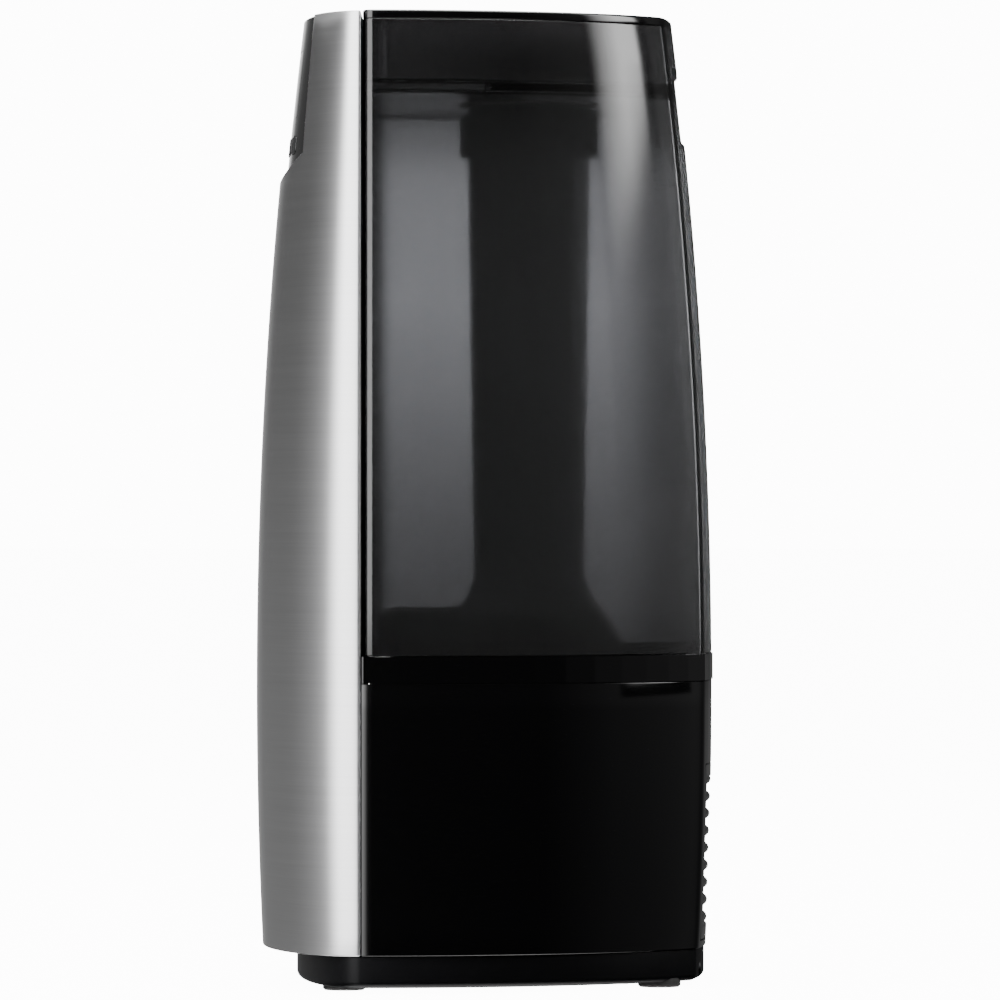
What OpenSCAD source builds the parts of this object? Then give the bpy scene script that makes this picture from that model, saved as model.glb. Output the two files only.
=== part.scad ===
// Tabletop ultrasonic humidifier: a base unit with a front column, and a water
// tank that lifts straight up off the base. Millimetres. +Z is up, -Y is the
// front, and the origin lies under the middle of the object on the surface
// that the feet stand on.

/* [Overall size] */
// Height from the table to the top of the lid
body_h = 390; // [350:5:470]
// Width across the seam between the front cover and the tank
body_w = 210; // [200:5:255]
// Depth from the front to the rear at the widest level
body_d = 186; // [176:2:226]

/* [Body shape] */
// Height of the widest level
belly_z = 120; // [90:5:160]
// How far the front and the rear are drawn in at the top, past the level of the belly
top_draw = 16.6; // [12:0.2:20]
// Share of that curve which the two sides follow
side_share = 0.3; // [0:0.05:0.6]
// Distance from the foremost point back to the seam of the front cover
seam_back = 44; // [38:1:53]
// Width of the rear face between its two corners
rear_face_w = 94; // [84:2:110]
// How far the rear face bulges past its corners
rear_bulge = 4.3; // [2:0.1:6]

/* [Levels] */
// Gap under the base plate that the feet leave
foot_stand = 2.2; // [1.5:0.1:4]
// Height of the base plate
plate_h = 12.8; // [10:0.2:16]
// Lower edge of the basin's visible rim
rim_level = 123; // [118:1:150]
// Height of the basin's visible rim
rim_h = 10.5; // [9:0.5:14]
// Height of the lid's visible edge
lid_h = 3.5; // [3:0.1:5]
// Depth of the recess above the tank's roof
recess_h = 25.5; // [22:0.5:34]
// How far the front cover's top stays under the lid's top
cover_drop = 0.4; // [0.2:0.1:1]

/* [Walls and gaps] */
// Wall of the housing
housing_wall = 2.5; // [2:0.1:3]
// How far the basin's rim stands proud of housing and tank
rim_proud = 0.5; // [0.2:0.1:0.8]
// Wall of the front cover
cover_wall = 2.5; // [2:0.1:3]
// Wall of the tank
tank_wall = 2.5; // [2:0.1:3]
// Radius of the tank's upright front corners
corner_r = 4; // [3:0.5:9]
// Wall of small mouldings
thin_wall = 2; // [1.6:0.1:2.4]
// Gap between parts fixed to each other
fit = 0.3; // [0.2:0.05:0.4]
// Gap between parts that move past each other
slip = 0.8; // [0.6:0.1:1]

/* [Basin] */
// Depth of the basin below its rim
basin_depth = 51.5; // [48:0.5:62]
// Width of the ledge that the tank stands on
ledge_w = 10; // [8:0.5:12]
// Floor of the basin
basin_floor_t = 3; // [2.4:0.2:3.6]
// Inner radius of the mist chamber
chamber_r = 30; // [26:0.5:31]
// Distance of the chimney's axis behind the seam
chimney_back = 67; // [62:1:72]
// Radius of the piezo disc
piezo_r = 10; // [8:0.5:12]

/* [Tank] */
// Outer radius of the chimney at its lower end
chimney_r_low = 22.5; // [16:0.5:23.5]
// Outer radius of the chimney at its upper end
chimney_r_high = 25.5; // [24:0.5:26.5]
// Outer radius of the mist dome at the tank's floor
dome_r = 42; // [36:1:43]
// Height of the mist dome
dome_h = 19; // [15:1:24]
// Inner radius of the tank's filling neck
neck_r = 18.5; // [17.5:0.5:20]
// Distance of the filling neck and the float behind the seam
neck_back = 42; // [40:1:48]
// Distance of the float's axis behind the seam
float_back = 26; // [26:1:44]
// Width of the finger pocket
pocket_w = 64; // [56:2:86]
// Height of the finger pocket
pocket_h = 31; // [26:1:38]
// Depth of the finger pocket
pocket_d = 12; // [10:1:15]
// Distance from the tank's upper edge down to the finger pocket
pocket_drop = 17.5; // [15:0.5:22]

/* [Lid] */
// Radius of the turning mist nozzle
nozzle_r = 26.7; // [25:0.1:32.1]
// Height of the mist nozzle
nozzle_h = 8.3; // [7:0.1:9.5]

/* [Control panel] */
// Width of the window in the front cover
panel_w = 144; // [110:2:150]
// Height of the window in the front cover
panel_h = 65; // [58:1:78]
// How far the window's lower edge bows down in the middle
panel_bow = 10; // [6:1:14]
// Width of one key
key_w = 13; // [10:0.5:15]
// Height of one key
key_h = 7; // [6:0.5:8]
// Distance between neighbouring keys
key_pitch = 19.5; // [17:0.5:23]
// Key travel
key_travel = 0.8; // [0.5:0.1:1]

/* [Air path] */
// Side of the square fan
fan_side = 60; // [50:1:62]
// Thickness of the fan
fan_t = 15; // [13:0.5:16]
// Width of the rear grille
grille_w = 80; // [70:2:84]
// Height of the rear grille
grille_h = 71; // [66:1:78]
// Distance between the grille's slats
slat_pitch = 7; // [6:0.5:8]
// Opening between two slats
slat_gap = 3.4; // [2.5:0.1:4]

/* [Feet, screws and cord] */
// Radius of a foot
foot_r = 8.6; // [7:0.2:10]
// Radius of the cord that the gland takes
cord_r = 3.4; // [2.8:0.1:3.8]
// Radius of a screw's shank
screw_r = 1.7; // [1.4:0.1:2]

/* [Hidden] */

$fn = 64;
front_n = 14;   // facets from the middle of the front to the seam
side_n = 12;    // facets from the seam to a rear corner
rear_n = 5;     // facets across the rear face
corner_n = 4;   // facets round a front corner of the tank
cut = 1;        // overshoot of a cutting solid

seam_y = -body_d / 2 + seam_back;
plate_z1 = foot_stand + plate_h;
plate_floor = 3;
plate_side = 2;          // how far the plate stays inside the body's sides
plate_rear = 1.2;        // and inside its rear
plate_front = 14;        // and inside its front
plate_wall = 2.4;
plate_chamfer = 2.5;
rim_z1 = rim_level + rim_h;
basin_z = rim_z1 - basin_depth;          // floor of the basin, and its underside
basin_z0 = basin_z - basin_floor_t;
cover_z1 = body_h - cover_drop;
tank_z0 = rim_z1 + fit;
tank_z1 = body_h - lid_h;
tank_y = seam_y + slip;                  // front face of the tank
roof_z1 = tank_z1 - recess_h;
roof_z0 = roof_z1 - tank_wall;
skin_in = rim_proud;                     // inset of the housing and the tank
tank_in = skin_in + tank_wall;

// ---- the body's outline ----
profile_r = (pow(body_h - belly_z, 2) + pow(top_draw, 2)) / (2 * top_draw);
// How far the outline is drawn in at a level, from the curve of the profile
function drawn_in(z) = profile_r - sqrt(pow(profile_r, 2) - pow(z - belly_z, 2));
function half_w(z) = body_w / 2 - side_share * drawn_in(z);
function front_reach(z) = seam_back - drawn_in(z);
function rear_reach(z) = body_d - seam_back - drawn_in(z);
corner_a = acos(rear_face_w / body_w);

// Points of the front half ellipse, left to right, of half width w and reach r
function front_arc(w, r, x_max = 1000) =
    let (a = x_max < w ? asin(x_max / w) : 90)
    [for (i = [-front_n:front_n]) [w * sin(a * i / front_n), seam_y - r * cos(a * i / front_n)]];
// Points of the sides and the rear, right to left, starting and ending on the line y0
function rear_arc(w, r, y0) =
    let (axis = (r - rear_bulge) / sin(corner_a),
         a0 = asin((y0 - seam_y) / axis),
         side = [for (i = [0:side_n]) let (a = a0 + (corner_a - a0) * i / side_n)
                 [w * cos(a), seam_y + axis * sin(a)]],
         xc = w * cos(corner_a),
         yc = seam_y + r - rear_bulge,
         back = [for (i = [1:rear_n - 1]) let (x = xc * (1 - 2 * i / rear_n))
                 [x, yc + rear_bulge * (1 - pow(x / xc, 2))]])
    concat(side, back, [for (i = [side_n:-1:0]) [-side[i].x, side[i].y]]);
// Points of the rear face alone, right to left, out to x_max
function rear_face(z, e, x_max) =
    let (w = half_w(z) - e, xc = w * cos(corner_a), yc = seam_y + rear_reach(z) - e - rear_bulge)
    [for (i = [0:2 * rear_n]) let (x = x_max * (1 - i / rear_n))
     [x, yc + rear_bulge * (1 - pow(x / xc, 2))]];

// Closed outline behind the line y0, inset by e, its front corners rounded to radius r
function tub_ring(z, e, y0, r = 0.8) =
    let (body = rear_arc(half_w(z) - e, rear_reach(z) - e, y0 + r),
         turn = [for (i = [0:corner_n - 1]) let (a = 90 * i / corner_n)
                 [body[0].x - r + r * sin(a), y0 + r - r * cos(a)]])
    concat(turn, body, [for (i = [corner_n - 1:-1:0]) [-turn[i].x, turn[i].y]]);
// Closed outline in front of the seam, inset by e
function nose_ring(z, e) = front_arc(half_w(z) - e, front_reach(z) - e);
// Front edge of the outline at a level, at x, inset by e
function front_y(z, e, x = 0) =
    seam_y - (front_reach(z) - e) * sqrt(1 - pow(x / (half_w(z) - e), 2));
// Rear edge of the outline at a level
function rear_y(z, e) = seam_y + rear_reach(z) - e;
// Half width of the outline behind the seam at y, inset by e
function side_x(z, e, y) =
    (half_w(z) - e) * sqrt(1 - pow((y - seam_y) * sin(corner_a) / (rear_reach(z) - e - rear_bulge), 2));
// Levels from z0 to z1 in n equal steps
function levels(z0, z1, n) = [for (i = [0:n]) z0 + (z1 - z0) * i / n];

// Solid or shell through a list of rings [z, points]; the first and the last ring are closed
module skin(rings) {
    n = len(rings[0][1]);
    m = len(rings);
    points = [for (r = rings) for (p = r[1]) [p.x, p.y, r[0]]];
    sides = [for (k = [0:m - 2]) for (i = [0:n - 1]) let (j = (i + 1) % n)
             for (f = [[k * n + i, (k + 1) * n + i, (k + 1) * n + j],
                       [k * n + i, (k + 1) * n + j, k * n + j]]) f];
    polyhedron(points, concat(sides, [[for (i = [0:n - 1]) i], [for (i = [n - 1:-1:0]) (m - 1) * n + i]]));
}

// Ring of a closed wall through a closed list of rings, with no end faces
module hoop(rings) {
    n = len(rings[0][1]);
    m = len(rings);
    points = [for (r = rings) for (p = r[1]) [p.x, p.y, r[0]]];
    polyhedron(points, [for (k = [0:m - 1]) for (i = [0:n - 1])
        let (j = (i + 1) % n, a = k * n, b = ((k + 1) % m) * n)
        for (f = [[a + i, b + i, b + j], [a + i, b + j, a + j]]) f]);
}

// Curved plate between an outer and an inner grid of points, rows from low to high
module patch(outer, inner) {
    n = len(outer[0]);
    m = len(outer);
    o = m * n;
    points = concat([for (r = outer) for (p = r) p], [for (r = inner) for (p = r) p]);
    function quad(a, b, c, d) = [[a, b, c], [a, c, d]];
    faces = concat(
        [for (k = [0:m - 2]) for (i = [0:n - 2])
         for (f = quad(k * n + i, (k + 1) * n + i, (k + 1) * n + i + 1, k * n + i + 1)) f],
        [for (k = [0:m - 2]) for (i = [0:n - 2])
         for (f = quad(o + k * n + i, o + k * n + i + 1, o + (k + 1) * n + i + 1, o + (k + 1) * n + i)) f],
        [for (i = [0:n - 2]) for (f = quad(i, i + 1, o + i + 1, o + i)) f],
        [for (i = [0:n - 2]) let (t = (m - 1) * n)
         for (f = quad(t + i, o + t + i, o + t + i + 1, t + i + 1)) f],
        [for (k = [0:m - 2]) for (f = quad(k * n, o + k * n, o + (k + 1) * n, (k + 1) * n)) f],
        [for (k = [0:m - 2]) let (t = n - 1)
         for (f = quad(k * n + t, (k + 1) * n + t, o + (k + 1) * n + t, o + k * n + t)) f]);
    polyhedron(points, faces);
}
function lifted(ring, z) = [for (p = ring) [p.x, p.y, z]];
// Curved plate of the front, from inset e0 in to inset e1, between two levels
module front_patch(z0, z1, e0, e1, n, x_max = 1000) {
    patch([for (z = levels(z0, z1, n)) lifted(front_arc(half_w(z) - e0, front_reach(z) - e0, x_max), z)],
          [for (z = levels(z0, z1, n)) lifted(front_arc(half_w(z) - e1, front_reach(z) - e1, x_max), z)]);
}

module tube(r_out, r_in, h) {
    difference() {
        cylinder(r = r_out, h = h);
        translate([0, 0, -cut]) cylinder(r = r_in, h = h + 2 * cut);
    }
}
module box(x0, x1, y0, y1, z0, z1) {
    translate([x0, y0, z0]) cube([x1 - x0, y1 - y0, z1 - z0]);
}
module both_sides() {
    children();
    mirror([1, 0, 0]) children();
}

// ---- base plate, feet and screws ----
front_foot = [half_w(0) - plate_side - plate_wall - foot_r - 20, seam_y - 7];
rear_foot = [rear_face_w / 2 + 3, body_d / 2 - plate_rear - foot_r - 13];
foot_sink = 1.5;
head_r = 3.4;
head_h = 2;
boss_r = 4.2;
screw_len = 16;
side_screw = [side_x(rim_level, skin_in + housing_wall, seam_y + 19) - boss_r - 4, seam_y + 19];
rear_screw = [side_x(rim_level, skin_in + housing_wall, seam_y + 101) - boss_r - 4, seam_y + 101];
front_screw = [46, seam_y - 13];
screw_places = [side_screw, rear_screw, front_screw];
gland_x = 34;
gland_y0 = body_d / 2 - 47;
gland_l = 12;
gland_drop = 1.8;                        // how far the gland's hood hangs under the plate
gland_wall = 1.2;
cord_z = foot_stand - gland_drop + gland_wall + cord_r;
groove_r = cord_r + 0.6;
gland_w = 2 * cord_r + 4.6;
board_z = 30;
board_t = 1.6;
post_r = 3;
driver_at = [-side_x(rim_level, skin_in + housing_wall, seam_y + 19) + 50, seam_y + 42];
power_at = [side_x(rim_level, skin_in + housing_wall, seam_y + 19) - 50, seam_y + 42];
driver_size = [60, 56];
power_size = [62, 60];
post_inset = 4;
function corners(at, size) = [for (sx = [-1, 1]) for (sy = [-1, 1])
    [at.x + sx * (size.x / 2 - post_inset), at.y + sy * (size.y / 2 - post_inset)]];
board_posts = concat(corners(driver_at, driver_size), corners(power_at, power_size));

function plate_ring(z, e) = concat(
    front_arc(half_w(plate_z1) - plate_side - e, front_reach(plate_z1) - plate_front - e),
    let (back = rear_arc(half_w(plate_z1) - plate_side - e, rear_reach(plate_z1) - plate_rear - e, seam_y))
    [for (i = [1:len(back) - 2]) back[i]]);

module base_plate() color([0.05, 0.05, 0.055]) difference() {
    union() {
        skin([for (l = [[foot_stand, plate_chamfer], [foot_stand + plate_chamfer, 0], [plate_z1, 0],
                        [plate_z1, plate_wall], [foot_stand + plate_floor, plate_wall]])
              [l[0], plate_ring(l[0], l[1])]]);
        for (p = board_posts) translate([p.x, p.y, foot_stand + plate_floor - cut])
            cylinder(r = post_r, h = board_z - foot_stand - plate_floor + cut);
        for (p = screw_places) both_sides() translate([p.x, p.y, foot_stand + plate_floor - cut])
            cylinder(r = boss_r, h = plate_z1 - foot_stand - plate_floor + cut);
        // arch over the cord's groove
        box(gland_x - gland_w / 2 - thin_wall, gland_x + gland_w / 2 + thin_wall, gland_y0 - 8,
            rear_y(foot_stand, plate_rear + plate_wall) - rear_bulge / 2, foot_stand + plate_floor - cut,
            cord_z + groove_r + thin_wall);
    }
    for (p = board_posts) translate([p.x, p.y, board_z - 10]) cylinder(r = screw_r - 0.5, h = 10 + cut);
    for (p = screw_places) both_sides() translate([p.x, p.y, foot_stand - cut]) {
        cylinder(r = screw_r + 0.4, h = plate_h + 2 * cut);
        cylinder(r = head_r + 0.5, h = cut + head_h + 0.8);
    }
    for (p = [front_foot, rear_foot]) both_sides() translate([p.x, p.y, foot_stand - cut])
        cylinder(r = foot_r + 0.2, h = foot_sink + cut);
    // the cord's way: from inside through the gland's seat, then a groove to the rear edge
    box(gland_x - gland_w / 2 - 0.1, gland_x + gland_w / 2 + 0.1, gland_y0, gland_y0 + gland_l,
        foot_stand - cut, cord_z + groove_r);
    translate([gland_x, gland_y0 - 8 - cut, cord_z]) rotate([-90, 0, 0]) cylinder(r = groove_r, h = 8 + 2 * cut);
    translate([gland_x, gland_y0 + gland_l - cut, cord_z]) rotate([-90, 0, 0])
        cylinder(r = groove_r, h = body_d);
    box(gland_x - groove_r, gland_x + groove_r, gland_y0 + gland_l - cut, body_d, foot_stand - cut, cord_z);
}

module foot(p) color([0.09, 0.09, 0.09]) translate([p.x, p.y, 0]) {
    edge = 0.8;
    cylinder(r1 = foot_r - edge, r2 = foot_r, h = edge);
    translate([0, 0, edge]) cylinder(r = foot_r, h = foot_stand + foot_sink - edge);
}

module pan_screw(r, h, head) {
    translate([0, 0, head_h]) cylinder(r = r, h = h);
    difference() {
        cylinder(r = head, h = head_h);
        for (a = [0, 90]) rotate([0, 0, a]) box(-head * 0.6, head * 0.6, -0.4, 0.4, -cut, head_h * 0.6);
    }
}
module base_screws() color([0.7, 0.7, 0.72])
    for (p = screw_places) both_sides() translate([p.x, p.y, foot_stand + 0.8])
        pan_screw(screw_r, screw_len, head_r);

// The gland fills its seat in the plate; its hood hangs lower and slopes up to the front
module cord_gland() color([0.04, 0.04, 0.04]) difference() {
    w = gland_w / 2;
    y1 = gland_y0 + gland_l - 0.1;
    slope = 5;
    union() {
        box(gland_x - w, gland_x + w, gland_y0 + 0.1, y1, foot_stand, cord_z + groove_r - 0.1);
        translate([gland_x - w, 0, 0]) rotate([90, 0, 90]) linear_extrude(2 * w)
            polygon([[gland_y0 + 0.1, foot_stand + cut], [gland_y0 + 0.1, foot_stand],
                     [gland_y0 + slope, foot_stand - gland_drop], [y1, foot_stand - gland_drop],
                     [y1, foot_stand + cut]]);
    }
    translate([gland_x, gland_y0 - cut, cord_z]) rotate([-90, 0, 0]) cylinder(r = cord_r, h = gland_l + 2 * cut);
}

// ---- lower housing, grille and fan ----
housing_z1 = rim_level - 0.2;
grille_z0 = plate_z1 + 3;
grille_z1 = grille_z0 + grille_h;
boss_h = 22;

module lower_housing() color([0.03, 0.03, 0.035]) difference() {
    union() {
        zs = levels(plate_z1, housing_z1, 5);
        in = skin_in + housing_wall;
        patch([for (z = zs) lifted(rear_arc(half_w(z) - skin_in, rear_reach(z) - skin_in, seam_y + fit), z)],
              [for (z = zs) lifted(rear_arc(half_w(z) - in, rear_reach(z) - in, seam_y + fit), z)]);
        for (p = [side_screw, rear_screw]) both_sides() translate([p.x, p.y, plate_z1]) {
            cylinder(r = boss_r, h = boss_h);
            box(0, side_x(plate_z1, in, p.y) - p.x + 1, -1, 1, 0, boss_h);
        }
    }
    for (p = [side_screw, rear_screw]) both_sides() translate([p.x, p.y, plate_z1 - cut])
        cylinder(r = screw_r, h = boss_h - 2);
    box(-grille_w / 2 - fit, grille_w / 2 + fit, seam_y + 60, body_d, grille_z0 - fit, grille_z1 + fit);
}

module rear_grille() color([0.03, 0.03, 0.035]) difference() {
    zs = levels(grille_z0, grille_z1, 3);
    in = skin_in + housing_wall;
    patch([for (z = zs) lifted(rear_face(z, skin_in, grille_w / 2), z)],
          [for (z = zs) lifted(rear_face(z, in, grille_w / 2), z)]);
    for (z = [grille_z0 + 3 : slat_pitch : grille_z1 - 3 - slat_gap])
        box(-grille_w / 2 + 6, grille_w / 2 - 6, seam_y + 60, body_d, z, z + slat_gap);
}

fan_z = basin_z0 - fit - fan_side / 2;
filter_t = 5;
filter_y1 = rear_y(grille_z1, skin_in + housing_wall) - rear_bulge - fit;
filter_y0 = filter_y1 - filter_t;
fan_y1 = filter_y0 - fit;
fan_y0 = fan_y1 - fan_t;
fan_bore = fan_side / 2 - 2;
hub_r = 11;
shaft_r = 1.5;
stator_l = 7;

module air_filter() color([0.25, 0.25, 0.26])
    box(-fan_side / 2, fan_side / 2, filter_y0, filter_y1, fan_z - fan_side / 2, fan_z + fan_side / 2);

// Moves a solid built on +Z to the fan's axis, its foot on the fan's front side
module on_fan_axis() {
    translate([0, fan_y0, fan_z]) rotate([-90, 0, 0]) children();
}
module fan_frame() color([0.1, 0.1, 0.11]) on_fan_axis() {
    difference() {
        translate([-fan_side / 2, -fan_side / 2, 0]) cube([fan_side, fan_side, fan_t]);
        translate([0, 0, -cut]) cylinder(r = fan_bore, h = fan_t + 2 * cut);
        for (x = [-1, 1]) for (y = [-1, 1])
            translate([x * (fan_side / 2 - 4.5), y * (fan_side / 2 - 4.5), -cut])
                cylinder(r = 2.2, h = fan_t + 2 * cut);
    }
    cylinder(r = hub_r, h = 1.6);
    for (a = [0, 120, 240]) rotate([0, 0, a]) box(hub_r - 1, fan_bore + 1, -1.5, 1.5, 0, 1.6);
}
module fan_stator() color([0.6, 0.38, 0.2]) on_fan_axis() translate([0, 0, 1.6])
    difference() {
        union() {
            cylinder(r = 3.4, h = stator_l);
            for (a = [0:90:270]) rotate([0, 0, a]) {
                box(2, 8, -1.4, 1.4, 1, stator_l - 1);
                box(6.5, 8.5, -3.4, 3.4, 1, stator_l - 1);
            }
        }
        translate([0, 0, -cut]) cylinder(r = shaft_r + 0.05, h = stator_l + 2 * cut);
    }
module fan_rotor() color([0.13, 0.13, 0.14]) on_fan_axis() {
    z0 = 2.6;
    z1 = fan_t - 1;
    difference() {
        translate([0, 0, z0]) cylinder(r = hub_r, h = z1 - z0);
        translate([0, 0, z0 - cut]) cylinder(r = 9.8, h = 1.6 + stator_l - z0 + 0.8 + cut);
    }
    translate([0, 0, 2]) cylinder(r = shaft_r, h = z1 - 2);
    for (a = [0:360 / 7:359]) rotate([0, 0, a]) translate([hub_r - 0.6, 0, (z0 + z1) / 2])
        rotate([38, 0, 0]) translate([0, -6.4, -0.7]) cube([fan_bore - hub_r - 0.6, 12.8, 1.4]);
}

// ---- basin ----
chimney_y = seam_y + chimney_back;
well_r = 17;
well_depth = 8;
well_z = basin_z - well_depth;
well_wall = 4;
clamp_ring_r = well_r + 0.9;             // ring of the clamp's screws
piezo_t = 1.2;
seal_r = piezo_r + 3;
seal_t = 3.4;
clamp_z1 = well_z - 5;
duct_w = 44;
duct_y1 = fan_y0 - fit;
tower_y0 = chimney_y + chamber_r + thin_wall + 1;
tower_y1 = tower_y0 + 13;
tower_z1 = rim_z1 - 8.5;
neck_wall = 2.5;
cap_wall = 2.4;
cap_r_in = neck_r + neck_wall + 1.6;
cap_r = cap_r_in + cap_wall;
ridge_r = 1;                             // grip ridges round the cap
skirt_in = ledge_w + 1.2;                // inset of the skirt under the tank's floor
neck_x = side_x(rim_z1, skirt_in + thin_wall, seam_y + neck_back + cap_r / 2) - cap_r - ridge_r - 1;
neck_at = [-neck_x, seam_y + neck_back];
float_at = [neck_x, seam_y + float_back];
cap_floor = 3;
gasket_t = 1.6;
neck_h = 14;
floor_z0 = tank_z0 + 2;
neck_z0 = floor_z0 - neck_h;
cap_z0 = neck_z0 - gasket_t - cap_floor;
stem_out = 3;                            // how far the valve's stem stands out of the cap
pin_r = 2.6;
float_post_r = 4;
float_bore = float_post_r + 0.6;
float_r = 14;
float_h = 12;
float_rise = 12;
post_top = basin_z + float_h + float_rise + 4;
front_gap = fit;

function basin_ring(z, e) = tub_ring(z, e, seam_y + front_gap + e);

module water_basin() color([0.035, 0.035, 0.04]) difference() {
    nest = skin_in + housing_wall + fit;
    union() {
        skin([for (l = [[basin_z0, ledge_w - thin_wall], [rim_z1 - 3, ledge_w - thin_wall],
                        [rim_z1 - 3, nest + thin_wall], [rim_level - 4, nest + thin_wall],
                        [rim_level - 4, nest], [rim_level, nest], [rim_level, 0], [rim_z1, 0],
                        [rim_z1, ledge_w], [basin_z, ledge_w]])
              [l[0], basin_ring(l[0], l[1])]]);
        // mist chamber, transducer well, air tower, float post, valve pin
        translate([0, chimney_y, basin_z - cut]) cylinder(r = chamber_r + thin_wall, h = basin_depth - 2.5 + cut);
        translate([0, chimney_y, well_z - 6]) cylinder(r = well_r + well_wall, h = basin_z - well_z + 6);
        box(-duct_w / 2 - thin_wall, duct_w / 2 + thin_wall, tower_y0 - thin_wall, tower_y1 + thin_wall,
            basin_z0, tower_z1);
        translate([float_at.x, float_at.y, basin_z - cut]) cylinder(r = float_post_r, h = post_top - basin_z + cut);
        translate([neck_at.x, neck_at.y, basin_z - cut]) {
            cylinder(r = pin_r, h = cap_z0 - stem_out - 0.1 - basin_z + cut);
            cylinder(r1 = 7, r2 = pin_r, h = 8);
        }
    }
    translate([0, chimney_y, basin_z]) cylinder(r = chamber_r, h = basin_depth);
    translate([0, chimney_y, well_z]) cylinder(r = well_r, h = basin_depth);
    // step for the transducer's seal, and the hole under it
    translate([0, chimney_y, well_z - 3]) cylinder(r = piezo_r - 1, h = 3 + cut);
    translate([0, chimney_y, well_z - 6 - cut]) cylinder(r = seal_r + 0.15, h = seal_t + 1 + cut);
    // air tower: hollow, open below, with a window into the mist chamber
    box(-duct_w / 2, duct_w / 2, tower_y0, tower_y1, basin_z0 - cut, tower_z1 - thin_wall);
    box(-12, 12, chimney_y + chamber_r - 6, tower_y0 + cut, tower_z1 - 18, tower_z1 - 4);
    // water gates in the foot of the chamber's wall
    for (a = [180, 225, 315, 0]) translate([0, chimney_y, basin_z]) rotate([0, 0, a])
        box(chamber_r - 3, chamber_r + thin_wall + 2, -6, 6, 0, 9);
    // bore for the level sensor, from below
    translate([float_at.x, float_at.y, basin_z0 - cut]) cylinder(r = 2.2, h = post_top - basin_z0 - 2 + cut);
    // pilot holes of the clamp's screws
    for (a = [45:90:315]) translate([0, chimney_y, well_z - 6 - cut]) rotate([0, 0, a])
        translate([clamp_ring_r, 0, 0]) cylinder(r = screw_r - 0.6, h = 5 + cut);
}

module transducer_seal() color([0.75, 0.72, 0.68]) translate([0, chimney_y, well_z - 5]) difference() {
    cylinder(r = seal_r, h = seal_t);
    translate([0, 0, 1.1]) cylinder(r = piezo_r + 0.05, h = piezo_t + 0.02);
    translate([0, 0, -cut]) cylinder(r = piezo_r - 2, h = seal_t + 2 * cut);
}
module transducer_disc() color([0.85, 0.83, 0.7]) translate([0, chimney_y, well_z - 5 + 1.1])
    cylinder(r = piezo_r, h = piezo_t);
module transducer_clamp() color([0.72, 0.72, 0.74]) translate([0, chimney_y, well_z - 8]) difference() {
    union() {
        cylinder(r = well_r + well_wall, h = 1.9);
        cylinder(r = seal_r - 0.2, h = 2.9);
    }
    translate([0, 0, -cut]) cylinder(r = piezo_r - 3, h = 6);
    for (a = [45:90:315]) rotate([0, 0, a])
        translate([clamp_ring_r, 0, -cut]) cylinder(r = screw_r - 0.4, h = 4);
}
module clamp_screws() color([0.7, 0.7, 0.72]) for (a = [45:90:315])
    translate([0, chimney_y, well_z - 8]) rotate([0, 0, a]) translate([clamp_ring_r, 0, 0]) {
        translate([0, 0, -1.6]) cylinder(r = 2.4, h = 1.6);
        cylinder(r = screw_r - 0.65, h = 6);
    }

module air_duct() color([0.12, 0.12, 0.13]) difference() {
    y0 = tower_y0 - thin_wall;
    z0 = fan_z - fan_side / 2;
    z1 = basin_z0 - fit;
    union() {
        box(-fan_side / 2, fan_side / 2, y0, duct_y1, z0, fan_z + fan_side / 2);
        box(-duct_w / 2 - thin_wall, duct_w / 2 + thin_wall, y0, min(tower_y1 + thin_wall, duct_y1), z0, z1);
    }
    box(-duct_w / 2, duct_w / 2, tower_y0, min(tower_y1, duct_y1 - thin_wall), z0 + thin_wall, z1 + cut);
    translate([0, tower_y0 + 2, fan_z]) rotate([-90, 0, 0]) cylinder(r = fan_bore - 1, h = body_d);
}

module level_sensor() color([0.55, 0.2, 0.15]) translate([float_at.x, float_at.y, 0]) {
    translate([0, 0, basin_z0 - 3]) cylinder(r = 1.9, h = post_top - basin_z0 - 4);
    translate([0, 0, basin_z0 - 4]) cylinder(r = 4, h = 3.6);
}
module water_float() color([0.85, 0.85, 0.86]) translate([float_at.x, float_at.y, basin_z + 0.5]) difference() {
    tube(float_r, float_bore, float_h);
    translate([0, 0, 3]) tube(float_bore + 3.8, float_bore + 1.3, float_h);
}
module float_magnet() color([0.3, 0.3, 0.32]) translate([float_at.x, float_at.y, basin_z + 3.5])
    tube(float_bore + 3.7, float_bore + 1.4, 5);
module float_clip() color([0.9, 0.9, 0.9]) translate([float_at.x, float_at.y, post_top - 2.5])
    tube(float_post_r + 2.6, float_post_r + 0.05, 1.6);

// ---- boards under the basin ----
module circuit_board(at, size) color([0.05, 0.3, 0.16]) difference() {
    translate([at.x - size.x / 2, at.y - size.y / 2, board_z]) cube([size.x, size.y, board_t]);
    for (p = corners(at, size)) translate([p.x, p.y, board_z - cut]) cylinder(r = screw_r - 0.2, h = board_t + 2 * cut);
}
board_top = board_z + board_t;
module driver_board() circuit_board(driver_at, driver_size);
module power_board() circuit_board(power_at, power_size);
module driver_heatsink() color([0.7, 0.71, 0.73]) translate([driver_at.x - 6, driver_at.y, board_top]) {
    translate([-14, -11, 0]) cube([28, 22, 3]);
    for (x = [-14:4.4:12.4]) translate([x, -11, 2]) cube([1.6, 22, 20]);
}
module power_transformer() color([0.75, 0.68, 0.3]) translate([power_at.x - 4, power_at.y - 8, board_top]) {
    translate([-15, -13, 0]) cube([30, 26, 4]);
    translate([-13, -11, 4]) cube([26, 22, 16]);
    translate([-15, -5, 4]) cube([30, 10, 20]);
}
module power_capacitors() color([0.15, 0.2, 0.45])
    for (c = [[-20, 18, 6, 24], [-6, 20, 5, 18], [7, 20, 5, 18], [20, 2, 4, 14]])
        translate([power_at.x + c[0], power_at.y + c[1], board_top]) cylinder(r = c[2], h = c[3]);
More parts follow.
